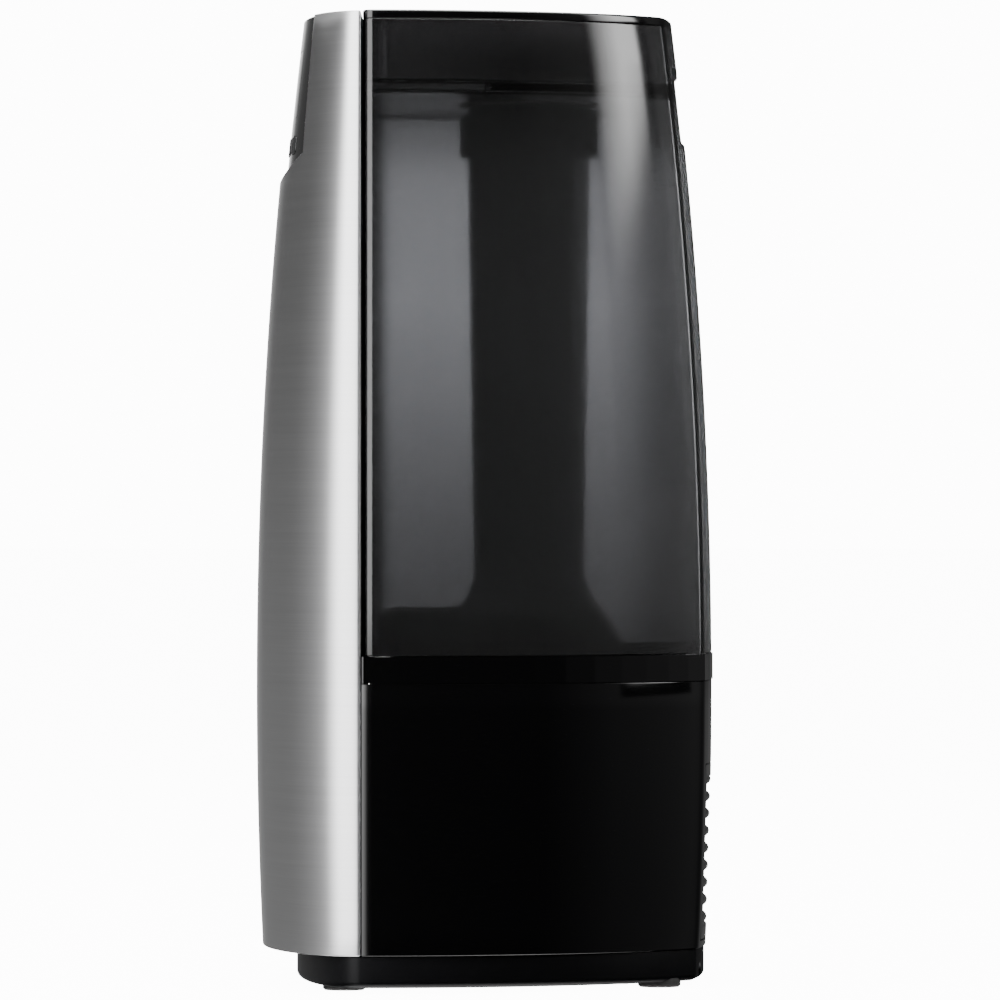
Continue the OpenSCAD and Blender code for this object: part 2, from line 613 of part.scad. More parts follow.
module board_screws() color([0.7, 0.7, 0.72]) for (p = board_posts) translate([p.x, p.y, board_top]) {
    translate([0, 0, -6]) cylinder(r = screw_r - 0.55, h = 6);
    cylinder(r = 2.6, h = 1.8);
}

// ---- front column ----
chassis_in = cover_wall + fit;
chassis_wall = 2.5;
// Half width that clears the cover at the chassis's front face
function chassis_x(z) = (half_w(z) - chassis_in) * sqrt(1 - pow(chassis_wall / (front_reach(z) - chassis_in), 2));
rib_d = 8;
panel_z0 = cover_z1 - panel_h;
lap = 6;                                // how far the fascia reaches behind the cover
fascia_t = 2.5;
fascia_in = cover_wall + fit;
fascia_z1 = cover_z1 - 0.2;
key_z = panel_z0 + 14;
lens_z0 = key_z + 11;
lens_w = 84;
lens_h = 27;
key_names = ["power", "mist", "humidity", "timer", "night"];
board_y = front_y(cover_z1, fascia_in + fascia_t, panel_w / 2 - 10) + 4.5;
control_t = 1.6;

module front_chassis() color([0.03, 0.03, 0.035]) {
    z1 = cover_z1 - 6;
    zs = levels(rim_z1 + fit, z1, 6);
    difference() {
        translate([0, seam_y, 0]) rotate([90, 0, 0]) linear_extrude(chassis_wall)
            polygon(concat([for (z = zs) [chassis_x(z), z]],
                           [for (i = [len(zs) - 1:-1:0]) [-chassis_x(zs[i]), zs[i]]]));
        // air slots behind the board, hidden by the tank
        for (z = [260, 275, 290]) box(-20, 20, seam_y - 2 * chassis_wall, seam_y + cut, z, z + 4);
    }
    both_sides() for (x = [panel_w / 2 + lap + 4, 30])
        box(x, x + thin_wall, seam_y - rib_d, seam_y - chassis_wall + 0.1, rim_z1 + fit, z1);
    // lower frame round the front of the base, open behind
    difference() {
        skin([for (z = [plate_z1 + fit, plate_z1 + fit + chassis_wall]) [z, nose_ring(z, chassis_in)]]);
        both_sides() translate([front_screw.x, front_screw.y, plate_z1]) cylinder(r = screw_r + 0.05, h = 10);
    }
    both_sides() {
        box(half_w(rim_level) - chassis_in - 12, half_w(rim_level) - chassis_in - 12 + thin_wall,
            seam_y - rib_d, seam_y, plate_z1 + fit, rim_z1 + fit + 0.1);
        translate([front_screw.x, front_screw.y, plate_z1 + fit]) difference() {
            cylinder(r = boss_r, h = boss_h);
            translate([0, 0, -chassis_wall]) cylinder(r = screw_r + 0.05, h = boss_h);
        }
    }
}

// Window seen from the front: an open top and a lower edge that bows down
module panel_window(w, h, bow, z0) {
    r = (pow(w / 2, 2) + pow(bow, 2)) / (2 * bow);
    rotate([90, 0, 0]) translate([0, 0, -seam_y]) linear_extrude(100) intersection() {
        translate([-w / 2, z0]) square([w, h]);
        translate([0, z0 + r]) circle(r = r, $fn = 180);
    }
}
module front_cover() color([0.62, 0.62, 0.64]) difference() {
    front_patch(plate_z1, cover_z1, 0, cover_wall, 9);
    panel_window(panel_w, panel_h + cut, panel_bow, panel_z0);
}
module column_cap() color([0.03, 0.03, 0.035]) difference() {
    z0 = cover_z1 - 3.2;
    z1 = cover_z1 - 0.4;
    skin([for (z = [z0, z1]) [z, nose_ring(z, cover_wall + fit)]]);
    front_patch(z0 - cut, z1 + cut, 0, fascia_in + fascia_t + fit, 1, panel_w / 2 + lap + fit);
}

// Rounded rectangle seen from the front, cut through the column
module key_shape(w, h, r, x, z, deep) {
    translate([x, seam_y, z]) rotate([90, 0, 0]) linear_extrude(deep) {
        square([w, h - 2 * r], center = true);
        square([w - 2 * r, h], center = true);
        for (sx = [-1, 1]) for (sz = [-1, 1]) translate([sx * (w / 2 - r), sz * (h / 2 - r)]) circle(r = r);
    }
}
module control_fascia() color([0.02, 0.02, 0.022]) difference() {
    front_patch(panel_z0 - lap, fascia_z1, fascia_in, fascia_in + fascia_t, 3, panel_w / 2 + lap);
    for (i = [-2:2]) key_shape(key_w + 2 * fit, key_h + 2 * fit, 2 + fit, i * key_pitch, key_z, 100);
    key_shape(lens_w + 0.2, lens_h + 0.2, 3.1, 0, lens_z0 + lens_h / 2, 100);
}
module display_lens() color([0.05, 0.06, 0.07, 0.6]) intersection() {
    front_patch(lens_z0 - 2, lens_z0 + lens_h + 2, fascia_in + 0.1, fascia_in + fascia_t - 0.1, 2, lens_w / 2 + 6);
    key_shape(lens_w, lens_h, 3, 0, lens_z0 + lens_h / 2, 100);
}
module key(i) color([0.06, 0.06, 0.065]) {
    x = i * key_pitch;
    back = fascia_in + fascia_t;
    intersection() {
        front_patch(key_z - key_h, key_z + key_h, fascia_in - 0.4, back + 0.6, 1, 3 * key_pitch);
        key_shape(key_w, key_h, 2, x, key_z, 100);
    }
    // lip that keeps the key behind the fascia
    intersection() {
        front_patch(key_z - key_h, key_z + key_h, back + 0.3, back + 1.3, 1, 3 * key_pitch);
        key_shape(key_w + 2.4, key_h + 2.4, 3, x, key_z, 100);
    }
    y0 = front_y(key_z, fascia_in + fascia_t, x);
    translate([x, y0, key_z]) rotate([-90, 0, 0]) cylinder(r = 1.8, h = board_y - 3.2 - key_travel - y0);
}
module key_power() key(-2);
module key_mist() key(-1);
module key_humidity() key(0);
module key_timer() key(1);
module key_night() key(2);

module control_board() color([0.05, 0.3, 0.16])
    box(-panel_w / 2 + 10, panel_w / 2 - 10, board_y, board_y + control_t, panel_z0 + 4, lens_z0 + lens_h + 2);
module key_switches() color([0.12, 0.12, 0.12]) for (i = [-2:2]) {
    box(i * key_pitch - 3, i * key_pitch + 3, board_y - 1.8, board_y, key_z - 3, key_z + 3);
    translate([i * key_pitch, board_y - 2.9, key_z]) rotate([-90, 0, 0]) cylinder(r = 1.5, h = 1.2);
}
module display_module() color([0.3, 0.33, 0.3])
    box(-lens_w / 2 + 4, lens_w / 2 - 4, board_y - 3, board_y, lens_z0 + 1, lens_z0 + lens_h - 1);

// Flat cable from the control board down the column to the power board
module ribbon_cable() color([0.75, 0.75, 0.76]) {
    t = 1;
    x = 36;
    w = 20;
    y1 = board_y + control_t;
    y2 = seam_y - 5;
    yb = power_at.y - power_size.y / 2 + 3;
    zc = panel_z0 + 8;
    translate([x, 0, 0]) rotate([90, 0, 90]) linear_extrude(w)
        polygon([[y1, zc], [y1 + 4, zc], [y2, zc - 6], [y2, board_top + 8], [yb, board_top + 8 - t * 2],
                 [yb, board_top], [yb - t, board_top], [yb - t, board_top + 6 - t],
                 [y2 - t, board_top + 8 - t], [y2 - t, zc - 6 - t], [y1 + 4 - t, zc - t], [y1, zc - t]]);
}

// ---- tank ----
function tank_ring(z, e) = tub_ring(z, skin_in + e, tank_y + e, max(corner_r - e, 1));
floor_t = 3;
float_dome_r = 19;
float_dome_h = 14;
floor_z1 = floor_z0 + floor_t;
sleeve_r = chimney_r_low + 0.2;
sleeve_h = 8;
chimney_z0 = floor_z1 + dome_h - 4;
chimney_z1 = roof_z1 + 4;
pocket_z1 = tank_z1 - pocket_drop;
pocket_z0 = pocket_z1 - pocket_h;
pocket_wall = 2;
pocket_y = rear_y(pocket_z1, skin_in) - pocket_d;
cap_z1 = floor_z0 - 1;
lug_z = neck_z0 + 2;                     // bayonet lugs on the neck
lug_h = 2.4;
function chimney_r(z) = chimney_r_low + (chimney_r_high - chimney_r_low) * (z - chimney_z0) / (chimney_z1 - chimney_z0);

module tank_shell() color([0.12, 0.12, 0.13, 0.45]) difference() {
    skin(concat(
        [for (z = levels(roof_z0, tank_z0, 6)) [z, tank_ring(z, tank_wall)]],
        [for (z = levels(tank_z0, tank_z1, 7)) [z, tank_ring(z, 0)]],
        [for (z = [tank_z1, roof_z1]) [z, tank_ring(z, tank_wall)]]));
    translate([0, chimney_y, roof_z0 - cut]) cylinder(r = chimney_r(roof_z0) + 1.2, h = tank_wall + 2 * cut);
    box(-pocket_w / 2, pocket_w / 2, pocket_y, body_d, pocket_z0, pocket_z1);
}
module pocket_block(grow, z_grow) {
    box(-pocket_w / 2 + grow, pocket_w / 2 - grow, pocket_y + grow, body_d, pocket_z0 + z_grow, pocket_z1 - z_grow);
}
grip_deep = 8;                           // how far the grip bar reaches in front of the pocket
module handle_pocket() color([0.03, 0.03, 0.035]) {
    difference() {
        intersection() {
            pocket_block(0.05, 0.05);
            skin([for (z = [pocket_z0 - 4, pocket_z1 + 4]) [z, tank_ring(z, 0.1)]]);
        }
        pocket_block(pocket_wall, pocket_wall);
    }
    // hollow grip bar over the pocket, inside the recess
    difference() {
        intersection() {
            box(-pocket_w / 2 + 0.1, pocket_w / 2 - 0.1, pocket_y - grip_deep, body_d, pocket_z1 - 1, lid_z0 - 0.2);
            skin([for (z = [pocket_z1 - 4, body_h]) [z, tank_ring(z, tank_wall + 2.6)]]);
        }
        box(-pocket_w / 2 + thin_wall, pocket_w / 2 - thin_wall, pocket_y - grip_deep + thin_wall,
            rear_y(tank_z1, skin_in + tank_wall + 2.6) - rear_bulge - thin_wall, pocket_z1 + thin_wall, body_h);
    }
}

module tank_floor() color([0.06, 0.06, 0.065]) difference() {
    union() {
        skin([for (z = [floor_z0, floor_z1]) [z, tank_ring(z, tank_wall + 0.1)]]);
        // locating skirt that drops into the basin
        hoop([for (l = [[floor_z0 - 6, skirt_in], [floor_z0 + 0.5, skirt_in],
                        [floor_z0 + 0.5, skirt_in + thin_wall], [floor_z0 - 6, skirt_in + thin_wall]])
              [l[0], tank_ring(l[0], l[1] - skin_in)]]);
        translate([0, chimney_y, floor_z1 - 0.5]) cylinder(r1 = dome_r, r2 = sleeve_r + thin_wall, h = dome_h);
        translate([0, chimney_y, floor_z1]) cylinder(r = sleeve_r + thin_wall, h = dome_h + sleeve_h - 4);
        translate([0, chimney_y, floor_z0 - 9]) cylinder(r = chamber_r + thin_wall + 3, h = 10);
        // dome over the float
        translate([float_at.x, float_at.y, floor_z1 - 0.5]) float_dome(float_dome_r, float_dome_h + 0.5);
        translate([neck_at.x, neck_at.y, 0]) {
            translate([0, 0, neck_z0]) cylinder(r = neck_r + neck_wall, h = neck_h + 1);
            for (a = [0, 120, 240]) rotate([0, 0, a])
                box(neck_r, neck_r + neck_wall + 1.1, -3.5, 3.5, lug_z, lug_z + lug_h);
        }
    }
    translate([0, chimney_y, floor_z0 - 10]) cylinder(r = chamber_r + thin_wall + 1, h = 10 + floor_t - 0.5);
    translate([0, chimney_y, floor_z1 - 0.6])
        cylinder(r1 = dome_r - 2.5, r2 = sleeve_r - 1.6, h = chimney_z0 - floor_z1 - 0.4);
    translate([0, chimney_y, floor_z1]) cylinder(r = sleeve_r - 1.6, h = dome_h + 20);
    translate([0, chimney_y, chimney_z0 - 0.05]) cylinder(r = sleeve_r, h = 40);
    translate([neck_at.x, neck_at.y, neck_z0 - cut]) cylinder(r = neck_r, h = neck_h + floor_t + 2 * cut);
    translate([float_at.x, float_at.y, floor_z0 - cut])
        float_dome(float_dome_r - thin_wall, float_dome_h + floor_t + cut - thin_wall);
}
module float_dome(r, h) {
    cylinder(r = r, h = h - 5);
    translate([0, 0, h - 5]) cylinder(r1 = r, r2 = r - 1.5, h = 3);
    translate([0, 0, h - 2]) cylinder(r1 = r - 1.5, r2 = r - 5, h = 2);
}

module mist_chimney() color([0.05, 0.05, 0.055]) translate([0, chimney_y, chimney_z0]) difference() {
    h = chimney_z1 - chimney_z0;
    union() {
        cylinder(r1 = chimney_r_low, r2 = chimney_r_high, h = h);
        translate([0, 0, roof_z0 - 24 - chimney_z0]) cylinder(r = chimney_r_high + 3, h = 18);
    }
    translate([0, 0, -0.01]) cylinder(r1 = chimney_r_low - 1.6, r2 = chimney_r_high - 1.6, h = h + 0.02);
}
seal_lip = 0.6;                          // how far the seal's lips stand off the roof
module chimney_seal() color([0.2, 0.2, 0.2]) translate([0, chimney_y, roof_z0 - seal_lip]) difference() {
    r = chimney_r(roof_z0);
    union() {
        cylinder(r = r + 1.1, h = tank_wall + 2 * seal_lip);
        cylinder(r = r + 3, h = seal_lip - 0.1);
        translate([0, 0, tank_wall + seal_lip + 0.1]) cylinder(r = r + 3, h = seal_lip - 0.1);
    }
    translate([0, 0, -cut]) cylinder(r = chimney_r(roof_z1 + 1) + 0.1, h = tank_wall + 2 + 2 * cut);
}

// ---- cap and valve ----
cage_r = neck_r - 2.5;
seat_r = 6;
valve_r = 9;
valve_lift = 3;
valve_seal_t = 1.6;
plunger_z = cap_z0 + cap_floor + valve_lift + valve_seal_t;
bridge_z = cap_z0 + 19;
stem_r = 2.2;
wire_r = 0.5;

module tank_cap() color([0.04, 0.04, 0.045]) translate([neck_at.x, neck_at.y, cap_z0]) {
    difference() {
        cylinder(r = cap_r, h = cap_z1 - cap_z0);
        translate([0, 0, cap_floor]) cylinder(r = cap_r_in, h = 100);
        translate([0, 0, -cut]) cylinder(r = seat_r, h = 10);
    }
    for (a = [0:30:330]) rotate([0, 0, a]) translate([cap_r - 0.2, 0, 0]) cylinder(r = ridge_r, h = cap_z1 - cap_z0);
    // valve cage with water windows, and the bridge that guides the stem
    difference() {
        translate([0, 0, cap_floor - 0.1]) cylinder(r = cage_r, h = bridge_z + 3 - cap_z0 - cap_floor + 0.1);
        translate([0, 0, cap_floor - 0.2]) cylinder(r = cage_r - thin_wall, h = bridge_z - cap_z0 - cap_floor + 0.2);
        translate([0, 0, -cut]) cylinder(r = stem_r + 0.08, h = 60);
        for (a = [0:60:300]) rotate([0, 0, a]) {
            box(cage_r - 4, cage_r + 2, -4, 4, cap_floor + 3, bridge_z - cap_z0 - 2);
            translate([9.4, 0, bridge_z - cap_z0 - cut]) cylinder(r = 2.6, h = 6);
        }
    }
    // bayonet ramps that lock above the neck's lugs
    for (a = [0, 120, 240]) rotate([0, 0, a - 12]) rotate_extrude(angle = 24)
        translate([neck_r + neck_wall + 0.3, lug_z + lug_h + 0.2 - cap_z0]) square([2, 2.2]);
}
module cap_gasket() color([0.7, 0.15, 0.12]) translate([neck_at.x, neck_at.y, cap_z0 + cap_floor + 0.1])
    tube(cap_r_in - 0.2, cage_r + 0.2, gasket_t - 0.2);
module scale_cartridge() color([0.9, 0.9, 0.88]) translate([neck_at.x, neck_at.y, bridge_z + 3 + 0.1]) difference() {
    h = 12;
    r = neck_r - 2.6;
    cylinder(r = r, h = h);
    translate([0, 0, 2]) cylinder(r = r - 1.6, h = h - 4);
    for (a = [0:30:330]) rotate([0, 0, a]) box(r - 4, r + 2, -1.2, 1.2, 4, h - 4);
    for (a = [0:60:300]) rotate([0, 0, a]) translate([8, 0, -cut]) cylinder(r = 2, h = 2 + 2 * cut);
    translate([0, 0, -cut]) cylinder(r = stem_r + 0.6, h = 2 + 2 * cut);
}
module valve_plunger() color([0.85, 0.85, 0.86]) translate([neck_at.x, neck_at.y, 0]) {
    z0 = cap_z0 - stem_out;
    translate([0, 0, z0]) cylinder(r = stem_r, h = bridge_z + 2 - z0);
    translate([0, 0, plunger_z]) cylinder(r = valve_r, h = 2);
}
module valve_seal() color([0.7, 0.15, 0.12]) translate([neck_at.x, neck_at.y, plunger_z - valve_seal_t])
    tube(valve_r - 0.5, stem_r, valve_seal_t);
// Closed coil: rings of the wire's outline swept along a helix
module valve_spring() color([0.75, 0.75, 0.78]) translate([neck_at.x, neck_at.y, plunger_z + 2 + wire_r]) {
    turns = 4.5;
    per_turn = 18;
    sides = 6;
    r = stem_r + 2.2;
    rise = bridge_z - plunger_z - 2 - 2 * wire_r - 0.2;
    steps = turns * per_turn;
    rings = [for (i = [0:steps]) let (a = 360 * i / per_turn, z = rise * i / steps)
             [for (k = [0:sides - 1]) let (b = 360 * k / sides)
              [(r + wire_r * cos(b)) * cos(a), (r + wire_r * cos(b)) * sin(a), z + wire_r * sin(b)]]];
    n = sides;
    polyhedron([for (g = rings) for (p = g) p],
        concat([[for (k = [0:n - 1]) k]],
               [for (i = [0:steps - 1]) for (k = [0:n - 1]) let (j = (k + 1) % n)
                for (f = [[i * n + k, (i + 1) * n + k, (i + 1) * n + j], [i * n + k, (i + 1) * n + j, i * n + j]]) f],
               [[for (k = [n - 1:-1:0]) steps * n + k]]));
}

// ---- lid and nozzle ----
lid_z0 = tank_z1 + 0.1;
nozzle_z0 = body_h - nozzle_h;
nozzle_gap = 0.1;
tray_z0 = roof_z1 + seal_lip + 0.1;
tray_w = 124;
tray_y0 = tank_y + 9;
tray_y1 = chimney_y + chimney_r_high + 2;

module top_cover() color([0.02, 0.02, 0.022]) difference() {
    union() {
        skin([for (z = [lid_z0, body_h]) [z, tank_ring(z, 0)]]);
        hoop([for (l = [[lid_z0 - 4, tank_wall + 0.4], [lid_z0 + 0.5, tank_wall + 0.4],
                        [lid_z0 + 0.5, tank_wall + 2], [lid_z0 - 4, tank_wall + 2]])
              [l[0], tank_ring(l[0], l[1])]]);
        translate([0, chimney_y, nozzle_z0 - 2.5]) cylinder(r = nozzle_r + nozzle_gap + 2, h = lid_z0 - nozzle_z0 + 3);
    }
    translate([0, chimney_y, nozzle_z0 - 0.3]) cylinder(r = nozzle_r + nozzle_gap, h = 40);
    translate([0, chimney_y, nozzle_z0 - 10]) cylinder(r = nozzle_r - 4, h = 40);
}
module mist_tray() color([0.03, 0.03, 0.035]) difference() {
    z1 = lid_z0 - 0.1;
    box(-tray_w / 2, tray_w / 2, tray_y0, tray_y1, tray_z0, z1);
    box(-tray_w / 2 + thin_wall, tray_w / 2 - thin_wall, tray_y0 + thin_wall, tray_y1 - thin_wall + 0.5,
        tray_z0 + thin_wall, z1 + cut);
    translate([0, chimney_y, tray_z0 - cut]) cylinder(r = chimney_r_high + 1, h = 20);
    // room for the nozzle's seat behind the tray
    translate([0, chimney_y, nozzle_z0 - 2.9]) cylinder(r = nozzle_r + nozzle_gap + 2.3, h = 40);
}
module mist_nozzle() color([0.03, 0.03, 0.035]) translate([0, chimney_y, nozzle_z0]) difference() {
    cylinder(r = nozzle_r, h = nozzle_h);
    translate([0, 0, -cut]) cylinder(r = nozzle_r - 5, h = nozzle_h - 3 + cut);
    // slanting mist outlet and the two finger dimples
    translate([0, -5, nozzle_h - 2]) rotate([35, 0, 0]) translate([-15, -4, -10]) cube([30, 8, 20]);
    for (x = [-1, 1]) translate([x * 15, 13, nozzle_h + 10]) sphere(r = 11.2);
}

base_plate();
foot([-front_foot.x, front_foot.y]);  // foot_front_left
foot(front_foot);  // foot_front_right
foot([-rear_foot.x, rear_foot.y]);  // foot_rear_left
foot(rear_foot);  // foot_rear_right
base_screws();
cord_gland();
lower_housing();
rear_grille();
air_filter();
fan_frame();
fan_stator();
fan_rotor();
air_duct();
water_basin();
transducer_disc();
transducer_seal();
transducer_clamp();
clamp_screws();
driver_board();
driver_heatsink();
power_board();
power_transformer();
power_capacitors();
board_screws();
level_sensor();
water_float();
float_magnet();
float_clip();
front_chassis();
front_cover();
column_cap();
control_fascia();
display_lens();
display_module();
control_board();
key_switches();
key_power();
key_mist();
key_humidity();
key_timer();
key_night();
ribbon_cable();
tank_shell();
tank_floor();
mist_chimney();
chimney_seal();
handle_pocket();
tank_cap();
cap_gasket();
scale_cartridge();
valve_plunger();
valve_seal();
valve_spring();
top_cover();
mist_tray();
mist_nozzle();
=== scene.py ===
import bpy
import bmesh
import math
from mathutils import Matrix, Vector


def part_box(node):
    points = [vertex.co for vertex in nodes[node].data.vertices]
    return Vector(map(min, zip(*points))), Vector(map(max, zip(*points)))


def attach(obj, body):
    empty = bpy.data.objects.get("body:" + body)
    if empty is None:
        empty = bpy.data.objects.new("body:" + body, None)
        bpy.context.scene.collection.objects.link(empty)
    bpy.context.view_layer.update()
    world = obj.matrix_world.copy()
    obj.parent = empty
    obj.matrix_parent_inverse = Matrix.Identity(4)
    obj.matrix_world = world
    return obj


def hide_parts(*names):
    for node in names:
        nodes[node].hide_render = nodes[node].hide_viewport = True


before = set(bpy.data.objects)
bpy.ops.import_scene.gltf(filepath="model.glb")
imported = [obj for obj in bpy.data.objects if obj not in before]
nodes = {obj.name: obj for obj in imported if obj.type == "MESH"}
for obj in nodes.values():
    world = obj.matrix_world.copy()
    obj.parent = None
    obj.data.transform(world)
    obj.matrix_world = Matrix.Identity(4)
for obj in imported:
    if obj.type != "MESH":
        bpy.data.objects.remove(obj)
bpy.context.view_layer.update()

# ---- Studio -----------------------------------------------------------------
# The camera looks square at the right-hand side from a few metres away with a
# long lens. A pale floor runs into a pale world. Three soft lamps light the object,
# and cards round it that the camera can't see shape only what it mirrors.
CAMERA_PLACE = (3.4, 0.0062, 0.1956)
CAMERA_LENS = 300.0
camera = bpy.data.objects.new("camera", bpy.data.cameras.new("camera"))
camera.data.lens = CAMERA_LENS
camera.data.sensor_width = 36.0
camera.location = CAMERA_PLACE
camera.rotation_euler = (math.pi / 2, 0, math.pi / 2)
bpy.context.collection.objects.link(camera)
bpy.context.scene.camera = camera


class Signal:
    """An output of a node. Arithmetic on it adds Math nodes to its tree."""

    def __init__(self, tree, socket):
        self.tree, self.socket = tree, socket

    def __getitem__(self, name):
        return Signal(self.tree, self.socket.node.outputs[name])

    def maths(self, operation, first, second=None):
        values = {0: first} if second is None else {0: first, 1: second}
        return self.tree.node("ShaderNodeMath", {"operation": operation}, values)

    def __add__(self, other):
        return self.maths("ADD", self, other)

    __radd__ = __add__

    def __sub__(self, other):
        return self.maths("SUBTRACT", self, other)

    def __rsub__(self, other):
        return self.maths("SUBTRACT", other, self)

    def __mul__(self, other):
        return self.maths("MULTIPLY", self, other)

    __rmul__ = __mul__

    def __truediv__(self, other):
        return self.maths("DIVIDE", self, other)


class Tree:
    """A node tree being built. node() adds any node: its type, its settings, its sockets' values."""

    def __init__(self, tree):
        self.tree = tree
        tree.nodes.clear()

    def node(self, kind, settings=None, values=None):
        made = self.tree.nodes.new(kind)
        for key, value in (settings or {}).items():
            if key == "stops":
                ramp = made.color_ramp.elements
                while len(ramp) < len(value):
                    ramp.new(0.5)
                for element, (place, colour) in zip(ramp, value):
                    element.position, element.color = place, colour
            else:
                setattr(made, key, value)
        for key, value in (values or {}).items():
            socket = made.inputs[key]
            if isinstance(value, Signal):
                self.tree.links.new(value.socket, socket)
            elif isinstance(value, list):
                for signal in value:
                    self.tree.links.new(signal.socket, socket)
            else:
                socket.default_value = value
        return Signal(self, made.outputs[0]) if made.outputs else made


def finish_tree(name):
    """A new material and the tree that makes its finish."""
    material = bpy.data.materials.new(name)
    material.use_nodes = True
    return material, Tree(material.node_tree)


def blotches(tree, scale, detail=2.0, stretch=(1, 1, 1), rough=0.5):
    """Noise on the piece's own coordinates, 0 to 1; scale is in spots per metre."""
    place = tree.node("ShaderNodeTexCoord")["Object"]
    place = tree.node("ShaderNodeMapping", None, {"Vector": place, "Scale": stretch})
    return tree.node("ShaderNodeTexNoise", {"noise_dimensions": "3D"},
                     {"Vector": place, "Scale": scale, "Detail": detail, "Roughness": rough})


def tinted(tree, factor, dark, light):
    """Colour between two colours by a 0 to 1 factor."""
    mix = tree.node("ShaderNodeMix", {"data_type": "RGBA"}, {0: factor, 6: (*dark, 1), 7: (*light, 1)})
    return Signal(tree, mix.socket.node.outputs[2])


def bumped(tree, height, strength, distance):
    """Normals tilted by a 0 to 1 height, its full depth given in metres."""
    return tree.node("ShaderNodeBump", None, {"Height": height, "Strength": strength, "Distance": distance})


def surface(tree, values):
    """Principled shader with those values, wired to the material's output."""
    shader = tree.node("ShaderNodeBsdfPrincipled", None, values)
    tree.node("ShaderNodeOutputMaterial", None, {"Surface": shader})


def paper(name, shade, glow=0.0):
    """Seamless paper of a backdrop or a card."""
    material, tree = finish_tree(name)
    grain = blotches(tree, 40.0)
    values = {"Base Color": tinted(tree, grain, [shade * 0.98] * 3, [shade] * 3), "Roughness": 0.9}
    if glow:
        values.update({"Emission Color": (glow, glow, glow, 1), "Emission Strength": 1.0})
    surface(tree, values)
    return material


def staged(name, corners, material, hidden=True):
    """A flat stage card. A hidden one is seen only in what the object mirrors."""
    mesh = bpy.data.meshes.new(name)
    mesh.from_pydata(corners, [], [(0, 1, 2, 3)])
    card = bpy.data.objects.new(name, mesh)
    mesh.materials.append(material)
    bpy.context.collection.objects.link(card)
    if hidden:
        card.visible_camera = False
        card.visible_diffuse = False
        card.visible_transmission = False
        card.visible_shadow = False
    return card


FLOOR_HALF, FLOOR_GLOW, WORLD_GLOW = 30.0, 12.5, 13.0
floor = staged("floor", [(-FLOOR_HALF, -FLOOR_HALF, 0), (FLOOR_HALF, -FLOOR_HALF, 0),
                         (FLOOR_HALF, FLOOR_HALF, 0), (-FLOOR_HALF, FLOOR_HALF, 0)],
               paper("floor_paper", 0.92, FLOOR_GLOW), hidden=False)
floor.visible_glossy = False
floor.visible_diffuse = False

world = bpy.data.worlds.new("studio")
bpy.context.scene.world = world
world.use_nodes = True
sky = Tree(world.node_tree)
sky.node("ShaderNodeOutputWorld", None, {"Surface": sky.node("ShaderNodeBackground", None, {
    "Color": (1, 1, 1, 1), "Strength": WORLD_GLOW})})
world.cycles_visibility.diffuse = False
world.cycles_visibility.glossy = False
world.cycles_visibility.transmission = False


def ring_card(name, start, end, low, high, radius, material, steps=16, seen_through=False):
    """Upright curved card round the object, between two bearings in degrees from +X towards +Y.

    It is mirrored by the object or, if seen_through, seen only through clear plastic."""
    points, faces = [], []
    for i in range(steps + 1):
        turn = math.radians(start + (end - start) * i / steps)
        for z in (low, high):
            points.append((radius * math.cos(turn), radius * math.sin(turn), z))
    for i in range(steps):
        faces.append((2 * i, 2 * i + 1, 2 * i + 3, 2 * i + 2))
    mesh = bpy.data.meshes.new(name)
    mesh.from_pydata(points, [], faces)
    mesh.materials.append(material)
    card = bpy.data.objects.new(name, mesh)
    bpy.context.collection.objects.link(card)
    card.visible_camera = False
    card.visible_diffuse = False
    card.visible_glossy = not seen_through
    card.visible_transmission = seen_through
    card.visible_shadow = False


BACKDROP_R, TENT_R = 6.0, 2.5


def glow_cloth(name, layers, power, lean=0.0):
    """Lit cloth. Each layer is light by bearing in degrees times light by height in metres; layers add up.

    Past a bearing of 70 degrees the heights rise by lean, in metres per degree."""
    material, tree = finish_tree(name)
    spot = tree.node("ShaderNodeSeparateXYZ", None, {0: tree.node("ShaderNodeTexCoord")["Object"]})
    turn = tree.node("ShaderNodeMath", {"operation": "ARCTAN2"}, {0: spot["Y"], 1: spot["X"]})
    bearing = turn / (2 * math.pi) + 0.5
    height = (spot["Z"] + 1.0 - lean * (bearing * 360.0 - 250.0)) / 4.0

    def ramp(value, stops, low, high):
        return tree.node("ShaderNodeValToRGB", {"stops": [
            ((at - low) / (high - low), (level, level, level, 1)) for at, level in stops]}, {0: value})

    light = 0.0
    for by_bearing, by_height in layers:
        light = ramp(bearing, by_bearing, -180.0, 180.0) * ramp(height, by_height, -1.0, 3.0) + light
    tree.node("ShaderNodeOutputMaterial", None, {"Surface": tree.node("ShaderNodeEmission", None, {
        "Color": light, "Strength": power})})
    return material


FLAT = [(-1.0, 1.0), (3.0, 1.0)]
ring_card("tent", 0, 360, -1.0, 4.0, TENT_R, glow_cloth("tent_cloth", [
    ([(-180, 0.45), (-173, 0.22), (-166, 0.03), (-160, 0.014), (-125, 0.018), (-104, 0.034), (-92, 0.055),
      (-76, 0.12), (-64, 0.5), (-52, 1.0), (-14, 0.9), (-8, 0.02), (0, 0.004), (40, 0.004), (62, 0.02),
      (100, 0.03), (120, 0.01), (140, 0.004), (180, 0.003)],
     [(-1.0, 0.4), (-0.16, 0.4), (0.0, 0.5), (0.25, 0.7), (3.0, 0.72)]),
    ([(-180, 0.014), (-125, 0.02), (-92, 0.03), (-50, 0.0), (130, 0.0), (180, 0.014)],
     [(-1.0, 1.0), (0.0, 0.8), (0.3, 0.1), (0.5, 0.0)])], 12.0), steps=96)
SHEET_HALF, SHEET_GLOW = 2.0, 8.0
